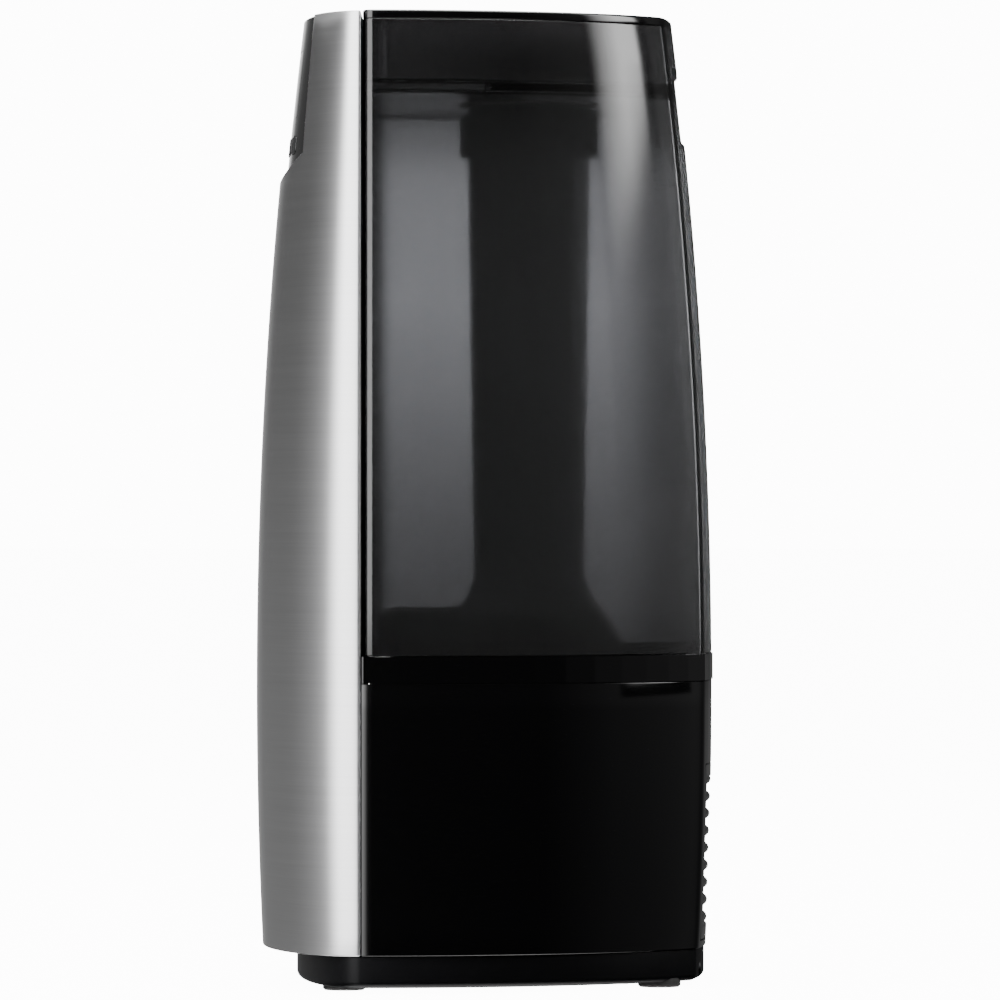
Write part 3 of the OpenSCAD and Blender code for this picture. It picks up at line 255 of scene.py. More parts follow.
for name, level in (("glow_above", 3.6), ("glow_below", -3.2)):
    staged(name, [(x * SHEET_HALF, y * SHEET_HALF, level) for x, y in ((-1, -1), (1, -1), (1, 1), (-1, 1))],
           paper(name + "_paper", 0.9, SHEET_GLOW))
# the lower edge of the rear lamp slants
ring_card("lamp_rear", 64, 98, 0.3, 2.2, TENT_R * 0.98, glow_cloth("lamp_rear_cloth", [
    ([(60, 0.0), (66, 0.0), (80, 1.0), (90, 0.9), (92, 0.0)],
     [(0.5, 0.0), (0.55, 0.06), (0.62, 0.7), (0.68, 1.0), (3.0, 1.0)])], 14.0, 0.0075), steps=24)
ring_card("backdrop", 0, 360, -1.0, 4.0, BACKDROP_R, glow_cloth("backdrop_cloth", [
    ([(-180, 1.0), (-100, 1.0), (-80, 0.18), (80, 0.18), (100, 1.0), (180, 1.0)], FLAT)], WORLD_GLOW),
    steps=96, seen_through=True)

for name, place, size, power in (("soft_left", (1.2, -1.8, 1.5), 1.4, 24.0),
                                 ("soft_right", (1.2, 1.8, 1.6), 1.2, 20.0),
                                 ("soft_top", (0.0, 0.0, 2.4), 1.6, 25.0)):
    lamp = bpy.data.objects.new(name, bpy.data.lights.new(name, "AREA"))
    lamp.data.size, lamp.data.energy = size, power
    lamp.location = place
    lamp.rotation_euler = (Vector((0, 0, 0.2)) - lamp.location).to_track_quat("-Z", "Y").to_euler()
    lamp.visible_glossy = False
    bpy.context.collection.objects.link(lamp)

# ---- Base plate ---------------------------------------------------------------
# Black moulded floor of the base. Its rim is rounded below, it stays inside the
# body's outline, and screws hold it to the housing from below.
MM = 0.001
HEIGHT, WIDTH, DEPTH = 390.0, 210.0, 186.0
BELLY, TOP_DRAW, SIDE_SHARE = 120.0, 16.6, 0.3
CURVE = ((HEIGHT - BELLY) ** 2 + TOP_DRAW ** 2) / (2 * TOP_DRAW)
NOSE = 44.0
SEAM = -DEPTH / 2 + NOSE
REAR_W, BULGE = 94.0, 4.3
CORNER = math.acos(REAR_W / WIDTH)
REAR_EDGE = 4.0


def drawn_in(z):
    """How far the body's outline is drawn in at a level."""
    return CURVE - math.sqrt(CURVE ** 2 - (z - BELLY) ** 2)


def half_w(z):
    return WIDTH / 2 - SIDE_SHARE * drawn_in(z)


def nose_reach(z):
    return NOSE - drawn_in(z)


def rear_reach(z):
    return DEPTH - NOSE - drawn_in(z)


def rear_surface(x, z, inset=0.0):
    """Y of the rear face at x and z."""
    across = (half_w(z) - inset) * math.cos(CORNER)
    return SEAM + rear_reach(z) - inset - BULGE * (x / across) ** 2


def mirrored_ring(half):
    """Closed ring from its right half, whose first and last points lie on the middle plane."""
    return half + [(-x, y) for x, y in reversed(half[1:-1])]


def rear_half(z, inset, front, reach=None):
    """Right side and rear of the outline, from the line y = front to the middle of the rear."""
    w = half_w(z) - inset
    reach = (rear_reach(z) if reach is None else reach) - inset
    axis = (reach - BULGE) / math.sin(CORNER)

    def side(turn):
        return (w * math.cos(turn), SEAM + axis * math.sin(turn))

    across = w * math.cos(CORNER)

    def back(x):
        return (x, SEAM + reach - BULGE * (x / across) ** 2)

    edge = max(REAR_EDGE - inset, 0.6)
    speed = math.hypot(w * math.sin(CORNER), axis * math.cos(CORNER))
    first, last = math.asin((front - SEAM) / axis), CORNER - edge / speed
    points = [side(first + (last - first) * i / 36) for i in range(37)]
    p, q, r = points[-1], side(CORNER), back(across - edge)
    for i in range(1, 8):
        t = i / 8
        points.append(tuple(p[k] * (1 - t) ** 2 + 2 * q[k] * t * (1 - t) + r[k] * t * t for k in (0, 1)))
    return points + [back((across - edge) * (1 - i / 12)) for i in range(13)]


def nose_half(z, inset, reach=None, steps=48):
    """Right half of the front curve, from the middle of the front to the seam."""
    w = half_w(z) - inset
    reach = (nose_reach(z) if reach is None else reach) - inset
    return [(w * math.sin(math.pi / 2 * i / steps), SEAM - reach * math.cos(math.pi / 2 * i / steps))
            for i in range(steps + 1)]


def rounded(corners, closed=False, steps=5):
    """Line through (inset, z, radius) corners, each turned into an arc of that radius."""
    line = []
    count = len(corners)
    for i, (across, up, radius) in enumerate(corners):
        if not radius or (not closed and i in (0, count - 1)):
            line.append((across, up))
            continue
        here = Vector((across, up))
        back = (Vector(corners[i - 1][:2]) - here).normalized()
        ahead = (Vector(corners[(i + 1) % count][:2]) - here).normalized()
        half = back.angle(ahead) / 2
        start, end = here + back * radius / math.tan(half), here + ahead * radius / math.tan(half)
        centre = here + (back + ahead).normalized() * radius / math.sin(half)
        for k in range(steps + 1):
            spoke = (start - centre).lerp(end - centre, k / steps).normalized() * radius
            line.append(tuple(centre + spoke))
    return line


def at_level(ring, z):
    return [(x, y, z) for x, y in ring]


def solid(name, points, faces, sharp=32.0):
    """Object from points in millimetres, its faces turned outwards and smooth below the sharp angle."""
    mesh = bpy.data.meshes.new(name)
    mesh.from_pydata([Vector(p) * MM for p in points], [], faces)
    work = bmesh.new()
    work.from_mesh(mesh)
    bmesh.ops.remove_doubles(work, verts=work.verts, dist=1e-7)
    bmesh.ops.recalc_face_normals(work, faces=work.faces)
    work.to_mesh(mesh)
    work.free()
    mesh.shade_smooth()
    mesh.set_sharp_from_angle(angle=math.radians(sharp))
    made = bpy.data.objects.new(name, mesh)
    bpy.context.collection.objects.link(made)
    return made


def loft(name, rings, closed=False, sharp=32.0):
    """Skin through rings of (x, y, z). Open ends are capped; closed joins the last ring to the first."""
    n, m = len(rings[0]), len(rings)
    faces = []
    for k in range(m if closed else m - 1):
        low, high = k * n, (k + 1) % m * n
        for i in range(n):
            j = (i + 1) % n
            faces.append((low + i, low + j, high + j, high + i))
    if not closed:
        faces.append(tuple(reversed(range(n))))
        faces.append(tuple(range((m - 1) * n, m * n)))
    return solid(name, [p for ring in rings for p in ring], faces, sharp)


def settle(made, sharp=32.0):
    """Turns an object's modifiers into its mesh."""
    shape = bpy.data.meshes.new_from_object(made.evaluated_get(bpy.context.evaluated_depsgraph_get()))
    made.modifiers.clear()
    made.data = shape
    shape.shade_smooth()
    shape.set_sharp_from_angle(angle=math.radians(sharp))


def carve(made, cutters, sharp=32.0):
    """Cuts the cutters out of a closed piece."""
    for cutter in cutters:
        cut = made.modifiers.new("cut", "BOOLEAN")
        cut.operation, cut.solver, cut.object = "DIFFERENCE", "EXACT", cutter
    settle(made, sharp)
    for cutter in cutters:
        bpy.data.objects.remove(cutter)


def fasten(made, body, slot, material, *replaced):
    """Gives a piece its material, its body and the CAD nodes it stands for; the slot is not used."""
    made.data.materials.clear()
    made.data.materials.append(material)
    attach(made, body)
    if replaced:
        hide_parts(*replaced)


def dress(material, *names):
    """Gives CAD nodes that stay a material."""
    for name in names:
        for place in nodes[name].material_slots:
            place.material = material


def moulded(name, colour, rough=0.45, grain=1400.0, depth=0.00004, shine=0.3):
    """Plastic with the fine spark-eroded grain of its mould."""
    material, tree = finish_tree(name)
    cloud = blotches(tree, 30.0, 3.0)
    pits = blotches(tree, grain, 2.0)
    dark = [c * 0.82 for c in colour]
    bump = bumped(tree, pits, 0.6, depth)
    surface(tree, {"Base Color": tinted(tree, cloud, dark, colour),
                   "Roughness": rough + 0.12 * (cloud - 0.5) + 0.06 * (pits - 0.5), "Normal": bump,
                   "Specular IOR Level": shine})
    return material


def polished(name, colour, rough=0.06):
    """Plastic from a polished mould: a mirror with faint handling haze and a very slight waviness."""
    material, tree = finish_tree(name)
    haze = blotches(tree, 14.0, 4.0, rough=0.6)
    wave = blotches(tree, 22.0, 1.0)
    lint = blotches(tree, 900.0, 2.0)
    bump = bumped(tree, wave, 0.25, 0.0002)
    surface(tree, {"Base Color": tinted(tree, haze, [c * 0.8 for c in colour], colour),
                   "Roughness": rough + 0.05 * haze + 0.02 * lint, "Normal": bump, "IOR": 1.5})
    return material


black_matte = moulded("black_moulded", (0.008, 0.008, 0.009), 0.36)
black_gloss = polished("black_polished", (0.006, 0.006, 0.007))
plate_black = moulded("plate_moulded", (0.005, 0.005, 0.006), 0.4, shine=0.1)

FOOT_STAND, PLATE_H = 2.2, 12.8
PLATE_TOP = FOOT_STAND + PLATE_H
PLATE_SIDE, PLATE_REAR, PLATE_FRONT = 2.0, 1.2, 14.0


def plate_ring(z, inset):
    """Outline of the base plate at a level."""
    front = nose_half(PLATE_TOP, PLATE_SIDE + inset, nose_reach(PLATE_TOP) - PLATE_FRONT + PLATE_SIDE)
    rear = rear_half(PLATE_TOP, PLATE_SIDE + inset, SEAM, rear_reach(PLATE_TOP) - PLATE_REAR + PLATE_SIDE)
    return at_level(mirrored_ring(front + rear[1:]), z)


GLAND_X, GLAND_Y, GLAND_L, GLAND_W = 34.0, DEPTH / 2 - 47, 12.0, 11.4
CORD_R = 3.4
CORD_Z = FOOT_STAND - 1.8 + 1.2 + CORD_R
GROOVE_R = CORD_R + 0.6


def block(name, low, high):
    """Plain box between two corners, for cutting or joining."""
    points = [(x, y, z) for x in (low[0], high[0]) for y in (low[1], high[1]) for z in (low[2], high[2])]
    faces = [(0, 1, 3, 2), (4, 6, 7, 5), (0, 4, 5, 1), (2, 3, 7, 6), (0, 2, 6, 4), (1, 5, 7, 3)]
    return solid(name, points, faces)


def rod(name, start, end, radius, end_radius=None, steps=48):
    """Round rod or cone between two points on one of the main directions."""
    start, end = Vector(start), Vector(end)
    along = (end - start).normalized()
    side = along.orthogonal().normalized()
    other = along.cross(side)
    rings = []
    for centre, r in ((start, radius), (end, radius if end_radius is None else end_radius)):
        rings.append([tuple(centre + r * (side * math.cos(2 * math.pi * i / steps)
                                          + other * math.sin(2 * math.pi * i / steps)))
                      for i in range(steps)])
    return loft(name, rings)


plate = loft("base_plate_moulding", [plate_ring(z, inset) for inset, z in rounded(
    [(6, FOOT_STAND, 0), (0, FOOT_STAND, 2.6), (0, PLATE_TOP, 0.6), (3, PLATE_TOP, 0)])])
carve(plate, [
    block("groove_mouth", (GLAND_X - GLAND_W / 2 - 0.1, GLAND_Y, -1),
          (GLAND_X + GLAND_W / 2 + 0.1, GLAND_Y + GLAND_L, CORD_Z + GROOVE_R)),
    block("groove_slot", (GLAND_X - GROOVE_R, GLAND_Y + GLAND_L - 1, -1),
          (GLAND_X + GROOVE_R, DEPTH, CORD_Z)),
    rod("groove_round", (GLAND_X, GLAND_Y + GLAND_L - 1, CORD_Z), (GLAND_X, DEPTH, CORD_Z), GROOVE_R)])
fasten(plate, "base", "black_matte_plastic", plate_black, "base_plate")
dress(black_matte, "cord_gland")

# ---- Feet ---------------------------------------------------------------------
# Four soft rubber pads, glued into round seats under the plate, with a rounded
# lower edge.
FOOT_R, FOOT_H = 8.6, 3.7
feet_at = []
for name in ("foot_front_left", "foot_front_right", "foot_rear_left", "foot_rear_right"):
    low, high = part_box(name)
    feet_at.append(((low[0] + high[0]) / 2, (low[1] + high[1]) / 2, 0.0))


def spun(name, line, centre, steps=72, sharp=32.0):
    """Round piece from an (r, z) line turned about an upright axis; the line's ends on the axis close it."""
    rings = [[(centre[0] + max(r, 1e-4) * math.cos(2 * math.pi * i / steps),
               centre[1] + max(r, 1e-4) * math.sin(2 * math.pi * i / steps), z) for i in range(steps)]
             for r, z in line]
    return loft(name, rings, sharp=sharp)


def geometry_tree(name, inputs):
    """Empty geometry tree with named number inputs; returns it and the group's input signals."""
    group = bpy.data.node_groups.new(name, "GeometryNodeTree")
    tree = Tree(group)
    group.interface.new_socket("Geometry", in_out="INPUT", socket_type="NodeSocketGeometry")
    for key, value in inputs.items():
        kind = "NodeSocketInt" if isinstance(value, int) else "NodeSocketFloat"
        socket = group.interface.new_socket(key, in_out="INPUT", socket_type=kind)
        socket.default_value = value
    group.interface.new_socket("Geometry", in_out="OUTPUT", socket_type="NodeSocketGeometry")
    return group, tree, tree.node("NodeGroupInput")


def finish_geometry(tree, instances, material):
    """Makes the instances plain mesh of one material, as what the tree gives out."""
    real = tree.node("GeometryNodeRealizeInstances", None, {"Geometry": instances})
    painted = tree.node("GeometryNodeSetMaterial", None, {"Geometry": real, "Material": material})
    tree.node("NodeGroupOutput", None, {"Geometry": painted})


def grow(made, group, inputs, sharp=32.0):
    """Runs a geometry tree on an object with those inputs and keeps the plain mesh."""
    layer = made.modifiers.new("grow", "NODES")
    layer.node_group = group
    for item in group.interface.items_tree:
        if item.item_type == "SOCKET" and item.in_out == "INPUT" and item.name in inputs:
            layer[item.identifier] = inputs[item.name]
    settle(made, sharp)


def point_cloud(name, places):
    """Loose points in metres for a geometry tree to build on."""
    mesh = bpy.data.meshes.new(name)
    mesh.from_pydata(places, [], [])
    made = bpy.data.objects.new(name, mesh)
    bpy.context.collection.objects.link(made)
    return made


rubber, tree = finish_tree("black_rubber")
dust, pores = blotches(tree, 120.0, 4.0), blotches(tree, 2600.0, 2.0)
surface(tree, {"Base Color": tinted(tree, dust, (0.016, 0.016, 0.017), (0.04, 0.039, 0.038)),
               "Roughness": 0.72 + 0.2 * (dust - 0.5),
               "Normal": bumped(tree, pores, 0.5, 0.00005)})

foot_inputs = {"Radius": FOOT_R * MM, "Height": FOOT_H * MM, "Edge": 0.8 * MM, "Sides": 64}
group, tree, given = geometry_tree("rubber_feet", foot_inputs)
body_part = tree.node("GeometryNodeMeshCylinder", None, {
    "Vertices": given["Sides"], "Radius": given["Radius"], "Depth": given["Height"] - given["Edge"]})
body_part = tree.node("GeometryNodeTransform", None, {
    "Geometry": body_part,
    "Translation": tree.node("ShaderNodeCombineXYZ", None, {"Z": (given["Height"] + given["Edge"]) / 2})})
rim = tree.node("GeometryNodeMeshCone", None, {
    "Vertices": given["Sides"], "Radius Top": given["Radius"],
    "Radius Bottom": given["Radius"] - given["Edge"], "Depth": given["Edge"]})
both = tree.node("GeometryNodeJoinGeometry", None, {"Geometry": [body_part, rim]})
on_feet = tree.node("GeometryNodeInstanceOnPoints", None, {
    "Points": tree.node("GeometryNodeMeshToPoints", None, {"Mesh": given["Geometry"]}), "Instance": both})
finish_geometry(tree, on_feet, rubber)
feet = point_cloud("rubber_feet", feet_at)
grow(feet, group, foot_inputs)
fasten(feet, "base", "rubber_black", rubber,
       "foot_front_left", "foot_front_right", "foot_rear_left", "foot_rear_right")

# ---- Screws -------------------------------------------------------------------
# Zinc-plated pan-head screws with a cross recess: six up through the base plate,
# others into the boards' posts and the transducer's clamp.
zinc, tree = finish_tree("zinc_plating")
spangle, scuff = blotches(tree, 700.0, 3.0), blotches(tree, 90.0, 4.0)
surface(tree, {"Base Color": tinted(tree, scuff, (0.42, 0.42, 0.44), (0.62, 0.62, 0.63)), "Metallic": 1.0,
               "Roughness": 0.26 + 0.16 * spangle,
               "Normal": bumped(tree, spangle, 0.2, 0.00004)})
dress(zinc, "base_screws", "clamp_screws", "board_screws", "valve_spring")

steel, tree = finish_tree("pressed_steel")
rolled = blotches(tree, 60.0, 4.0, stretch=(1, 14, 1))
surface(tree, {"Base Color": tinted(tree, rolled, (0.4, 0.4, 0.41), (0.56, 0.56, 0.57)), "Metallic": 1.0,
               "Roughness": 0.3 + 0.15 * rolled})
dress(steel, "transducer_clamp")

# ---- Lower housing --------------------------------------------------------------
# Polished black shell round the sides and the rear of the base, moulded in one
# piece, open towards the front column, with a window for the grille.
SKIN, HOUSING_WALL = 0.5, 2.5
RIM_LEVEL, RIM_H = 123.0, 10.5
FIT = 0.3
GRILLE_W, GRILLE_H = 80.0, 71.0
GRILLE_LOW = PLATE_TOP + 3
GRILLE_TOP = GRILLE_LOW + GRILLE_H


def levels(low, high, steps):
    return [low + (high - low) * i / steps for i in range(steps + 1)]


def wall_strip(z_low, z_high, inset, wall, front):
    """Rings of a wall open to the front: each ring goes out along the outside and back inside."""
    rings = []
    for z in levels(z_low, z_high, 10):
        outer = rear_half(z, inset, front)
        inner = rear_half(z, inset + wall, front)
        outside = [(-x, y) for x, y in outer] + [(x, y) for x, y in reversed(outer[:-1])]
        inside = [(x, y) for x, y in inner] + [(-x, y) for x, y in reversed(inner[:-1])]
        rings.append(at_level(outside + inside, z))
    return rings


def panel_prism(name, x_half, z_low, z_high, radius, y_low, y_high):
    """Rounded rectangle seen from behind, run along Y, for cutting windows."""
    ring = []
    for cx, cz, turn in ((x_half - radius, z_high - radius, 0), (-x_half + radius, z_high - radius, 90),
                         (-x_half + radius, z_low + radius, 180), (x_half - radius, z_low + radius, 270)):
        for i in range(9):
            a = math.radians(turn + 90 * i / 8)
            ring.append((cx + radius * math.cos(a), cz + radius * math.sin(a)))
    return loft(name, [[(x, y, z) for x, z in ring] for y in (y_low, y_high)])


housing = loft("lower_housing_shell", wall_strip(PLATE_TOP, RIM_LEVEL - 0.2, SKIN, HOUSING_WALL, SEAM + FIT))
bevel = housing.modifiers.new("edge", "BEVEL")
bevel.width, bevel.segments, bevel.limit_method, bevel.angle_limit = 0.0004, 3, "ANGLE", math.radians(50)
settle(housing)
carve(housing, [panel_prism("grille_window", GRILLE_W / 2 + FIT, GRILLE_LOW - FIT, GRILLE_TOP + FIT, 1.0,
                            SEAM + 60, DEPTH)])
fasten(housing, "base", "black_gloss_plastic", black_gloss, "lower_housing")

# ---- Rear grille ----------------------------------------------------------------
# Black insert that snaps into the housing's rear. Slats follow the bulge of the
# rear face between two uprights, and stand a little proud of it.
SLAT_PITCH, SLAT_GAP, SLAT_BOW, SLAT_LEAN = 7.0, 3.4, 2.45, 0.03


def rear_patch_ring(x_half, z_low, z_high, radius, proud):
    """Rounded rectangle that lies on the rear face, set back by its inset."""
    ring = []
    for cx, cz, turn in ((x_half - radius, z_high - radius, 0), (-x_half + radius, z_high - radius, 90),
                         (-x_half + radius, z_low + radius, 180), (x_half - radius, z_low + radius, 270)):
        for i in range(7):
            a = math.radians(turn + 90 * i / 6)
            x, z = cx + radius * math.cos(a), cz + radius * math.sin(a)
            ring.append((x, rear_surface(x, z, SKIN) + proud, z))
    # extra points along the long edges keep the ring on the curve
    dense = []
    for k, p in enumerate(ring):
        q = ring[(k + 1) % len(ring)]
        dense.append(p)
        if abs(q[0] - p[0]) > 10:
            for i in range(1, 12):
                x, z = p[0] + (q[0] - p[0]) * i / 12, p[2] + (q[2] - p[2]) * i / 12
                dense.append((x, rear_surface(x, z, SKIN) + proud, z))
    return dense


def grille_ring(inset, proud):
    return rear_patch_ring(GRILLE_W / 2 - inset, GRILLE_LOW + inset, GRILLE_TOP - inset, 1.5, proud)


grille_frame = loft("rear_grille_frame", [grille_ring(a, b) for a, b in (
    (0, -2.5), (0, -0.3), (0.3, 0), (5.2, 0), (5.5, -0.3), (5.5, -2.5))], closed=True)
slat_inputs = {"Count": 9, "Pitch": SLAT_PITCH * MM, "Half Width": (GRILLE_W / 2 - 4.5) * MM,
               "Bulge": SLAT_BOW * MM, "Slope": SLAT_LEAN * SLAT_PITCH * MM,
               "Thickness": (SLAT_PITCH - SLAT_GAP) / 2 * MM}
group, tree, given = geometry_tree("grille_slats", slat_inputs)
middle = tree.node("ShaderNodeCombineXYZ", None, {"Y": given["Bulge"]})
left = tree.node("ShaderNodeCombineXYZ", None, {"X": given["Half Width"] * -1.0, "Y": given["Bulge"] * -1.0})
right = tree.node("ShaderNodeCombineXYZ", None, {"X": given["Half Width"], "Y": given["Bulge"] * -1.0})
bow = tree.node("GeometryNodeCurveQuadraticBezier", None, {
    "Resolution": 24, "Start": left, "Middle": middle, "End": right})
round_bar = tree.node("GeometryNodeCurvePrimitiveCircle", None, {
    "Resolution": 12, "Radius": given["Thickness"]})
slat = tree.node("GeometryNodeCurveToMesh", None, {
    "Curve": bow, "Profile Curve": round_bar, "Fill Caps": True})
stack = tree.node("GeometryNodeMeshLine", None, {
    "Count": given["Count"], "Offset": tree.node("ShaderNodeCombineXYZ", None, {
        "Y": given["Slope"], "Z": given["Pitch"]})})
spot = tree.node("GeometryNodeInputPosition")
lowest = tree.node("GeometryNodeSampleIndex", {"data_type": "FLOAT_VECTOR"}, {
    "Geometry": given["Geometry"], "Value": spot})
stack = tree.node("GeometryNodeTransform", None, {"Geometry": stack, "Translation": lowest})
slats = tree.node("GeometryNodeInstanceOnPoints", None, {"Points": stack, "Instance": slat})
finish_geometry(tree, slats, black_gloss)
SLAT_FIRST = GRILLE_LOW + 3 + SLAT_PITCH - (SLAT_PITCH - SLAT_GAP) / 2
middle_y = rear_surface(0, SLAT_FIRST, SKIN) - (SLAT_PITCH - SLAT_GAP) / 2 - 0.1
slats_piece = point_cloud("rear_grille_slats", [(0, middle_y * MM, SLAT_FIRST * MM)])
grow(slats_piece, group, slat_inputs)
fasten(slats_piece, "grille", "black_gloss_plastic", black_gloss)
fasten(grille_frame, "grille", "black_gloss_plastic", black_gloss, "rear_grille")

# ---- Air filter -------------------------------------------------------------------
# Grey open-cell foam behind the grille.
foam, tree = finish_tree("filter_foam")
cells = tree.node("ShaderNodeTexVoronoi", {"feature": "DISTANCE_TO_EDGE"}, {
    "Vector": tree.node("ShaderNodeTexCoord")["Object"], "Scale": 900.0})
surface(tree, {"Base Color": tinted(tree, cells * 3.0, (0.02, 0.02, 0.021), (0.12, 0.12, 0.125)),
               "Roughness": 0.95,
               "Normal": bumped(tree, cells, 0.9, 0.0005)})
dress(foam, "air_filter")

# ---- Fan, duct and electrics --------------------------------------------------------
# Moulded fan and duct, green boards with their parts, and the loose items of the
# base. They stay as drawn and get finishes of their own.
dark_part = moulded("dark_moulding", (0.03, 0.03, 0.032), 0.5)
dress(dark_part, "fan_frame", "fan_rotor", "air_duct", "key_switches", "front_chassis", "column_cap")

copper, tree = finish_tree("copper_windings")
strands = tree.node("ShaderNodeTexWave", {"wave_type": "BANDS", "bands_direction": "Z"}, {
    "Vector": tree.node("ShaderNodeTexCoord")["Object"], "Scale": 900.0, "Distortion": 1.5})
surface(tree, {"Base Color": tinted(tree, strands, (0.3, 0.1, 0.04), (0.75, 0.34, 0.16)), "Metallic": 0.9,
               "Roughness": 0.3 + 0.1 * strands})
dress(copper, "fan_stator")

board_mask, tree = finish_tree("green_board")
copper_runs = tree.node("ShaderNodeTexBrick", None, {
    "Vector": tree.node("ShaderNodeTexCoord")["Object"], "Scale": 240.0, "Mortar Size": 0.08,
    "Color1": (0.01, 0.1, 0.045, 1), "Color2": (0.012, 0.13, 0.055, 1), "Mortar": (0.03, 0.2, 0.09, 1)})
weave = blotches(tree, 500.0, 2.0)
surface(tree, {"Base Color": copper_runs, "Roughness": 0.3 + 0.2 * weave})
dress(board_mask, "driver_board", "power_board", "control_board")

fins, tree = finish_tree("extruded_aluminium")
drawn_lines = blotches(tree, 80.0, 4.0, stretch=(1, 0.1, 12))
surface(tree, {"Base Color": tinted(tree, drawn_lines, (0.55, 0.56, 0.58), (0.72, 0.73, 0.75)),
               "Metallic": 1.0, "Roughness": 0.32 + 0.14 * drawn_lines})
dress(fins, "driver_heatsink")
dress(moulded("yellow_tape", (0.6, 0.46, 0.08), 0.35, 300.0), "power_transformer")
dress(polished("blue_sleeves", (0.02, 0.04, 0.16), 0.2), "power_capacitors")
dress(moulded("grey_ribbon", (0.42, 0.42, 0.43), 0.5, 500.0), "ribbon_cable")
dress(moulded("display_glass", (0.02, 0.024, 0.022), 0.2, 300.0), "display_module")
dress(moulded("ceramic_disc", (0.6, 0.58, 0.52), 0.35, 800.0), "transducer_disc")
dress(moulded("clear_silicone", (0.42, 0.4, 0.37), 0.55, 500.0), "transducer_seal", "chimney_seal")
dress(moulded("red_silicone", (0.36, 0.03, 0.02), 0.5, 500.0), "cap_gasket", "valve_seal")
dress(moulded("white_moulding", (0.62, 0.62, 0.6), 0.4),
      "water_float", "float_clip", "scale_cartridge", "valve_plunger")
dress(moulded("sintered_magnet", (0.08, 0.08, 0.09), 0.5, 2500.0), "float_magnet")
dress(polished("potted_sensor", (0.2, 0.03, 0.02), 0.2), "level_sensor")

# ---- Water basin --------------------------------------------------------------------
# Black moulded basin that closes the base. Its rim shows as a band between the
# housing and the tank, and a ledge inside it carries the tank.
dress(black_gloss, "water_basin")

# ---- Front cover --------------------------------------------------------------------
# Sheet-metal cover of the column, rolled to the front curve and brushed across.
# The window for the control panel is cut out of its upper end, edges eased.
COVER_WALL = 2.5
COVER_TOP = HEIGHT - 0.4
PANEL_W, PANEL_H, PANEL_BOW = 144.0, 65.0, 10.0
PANEL_LOW = COVER_TOP - PANEL_H
BOW_R = ((PANEL_W / 2) ** 2 + PANEL_BOW ** 2) / (2 * PANEL_BOW)


def window_edge(x):
    """Lower edge of the control panel's window."""
    return PANEL_LOW + BOW_R - math.sqrt(BOW_R ** 2 - min(abs(x), PANEL_W / 2) ** 2)


def nose_y(x, z, inset=0.0):
    """Y of the front surface at x and z."""
    return SEAM - (nose_reach(z) - inset) * math.sqrt(max(0.0, 1 - (x / (half_w(z) - inset)) ** 2))


def cover_x(column, z):
    """X of a column of the cover: straight across the window, then round to the seam."""
    inner, outer = 20, 24
    side = 1 if column >= 0 else -1
    column = abs(column)
    if column <= inner:
        return side * PANEL_W / 2 * column / inner
    first = math.asin(PANEL_W / 2 / half_w(z))
    turn = first + (math.pi / 2 - first) * (column - inner) / outer
    return side * half_w(z) * math.sin(turn)


points, faces, index = [], [], {}


def cover_point(column, row, z):
    key = (column, row)
    if key not in index:
        x = cover_x(column, z)
        index[key] = len(points)
        points.append((x, nose_y(x, z), z))
    return index[key]


LOW_ROWS, HIGH_ROWS, COLUMNS, INNER = 40, 10, 44, 20
split = {c: window_edge(cover_x(c, 340.0)) if abs(c) < INNER else window_edge(PANEL_W / 2)
         for c in range(-COLUMNS, COLUMNS + 1)}
for c in range(-COLUMNS, COLUMNS):
    for r in range(LOW_ROWS):
        faces.append([cover_point(i, j, PLATE_TOP + (split[i] - PLATE_TOP) * j / LOW_ROWS)
                      for i, j in ((c, r), (c + 1, r), (c + 1, r + 1), (c, r + 1))])
    if c >= INNER or c < -INNER:
        for r in range(LOW_ROWS, LOW_ROWS + HIGH_ROWS):
            faces.append([cover_point(i, j, split[i] + (COVER_TOP - split[i]) * (j - LOW_ROWS) / HIGH_ROWS)
                          for i, j in ((c, r), (c + 1, r), (c + 1, r + 1), (c, r + 1))])
mesh = bpy.data.meshes.new("front_cover_sheet")
mesh.from_pydata([Vector(p) * MM for p in points], [], faces)
cover = bpy.data.objects.new("front_cover_sheet", mesh)
bpy.context.collection.objects.link(cover)
wall = cover.modifiers.new("wall", "SOLIDIFY")
wall.thickness, wall.offset, wall.use_even_offset = COVER_WALL * MM, -1.0, True
bevel = cover.modifiers.new("edge", "BEVEL")
bevel.width, bevel.segments, bevel.limit_method, bevel.angle_limit = 0.0006, 3, "ANGLE", math.radians(50)
settle(cover)

brushed, tree = finish_tree("brushed_metal")
coarse = blotches(tree, 1.0, 3.0, stretch=(7, 7, 700), rough=0.7)
fine = blotches(tree, 1.0, 2.0, stretch=(16, 16, 3200), rough=0.6)
wide = blotches(tree, 1.0, 2.0, stretch=(3, 3, 90))
lines = coarse * 0.5 + fine * 0.35 + wide * 0.15
surface(tree, {"Base Color": tinted(tree, lines, (0.46, 0.46, 0.465), (0.68, 0.68, 0.685)), "Metallic": 1.0,
               "Roughness": 0.24 + 0.22 * lines, "Anisotropic": 0.75, "Anisotropic Rotation": 0.25,
               "Normal": bumped(tree, lines, 0.35, 0.00006)})
fasten(cover, "base", "brushed_metal", brushed, "front_cover")

# ---- Control panel --------------------------------------------------------------------
# Polished black fascia behind the window, with a dark lens over the display and
# a row of push keys under it.
FASCIA_WALL = 2.5
LAP = 6.0
KEY_W, KEY_H, KEY_PITCH = 13.0, 7.0, 19.5
KEY_Z = PANEL_LOW + 14
LENS_W, LENS_H = 84.0, 27.0
LENS_Z = KEY_Z + 11 + LENS_H / 2


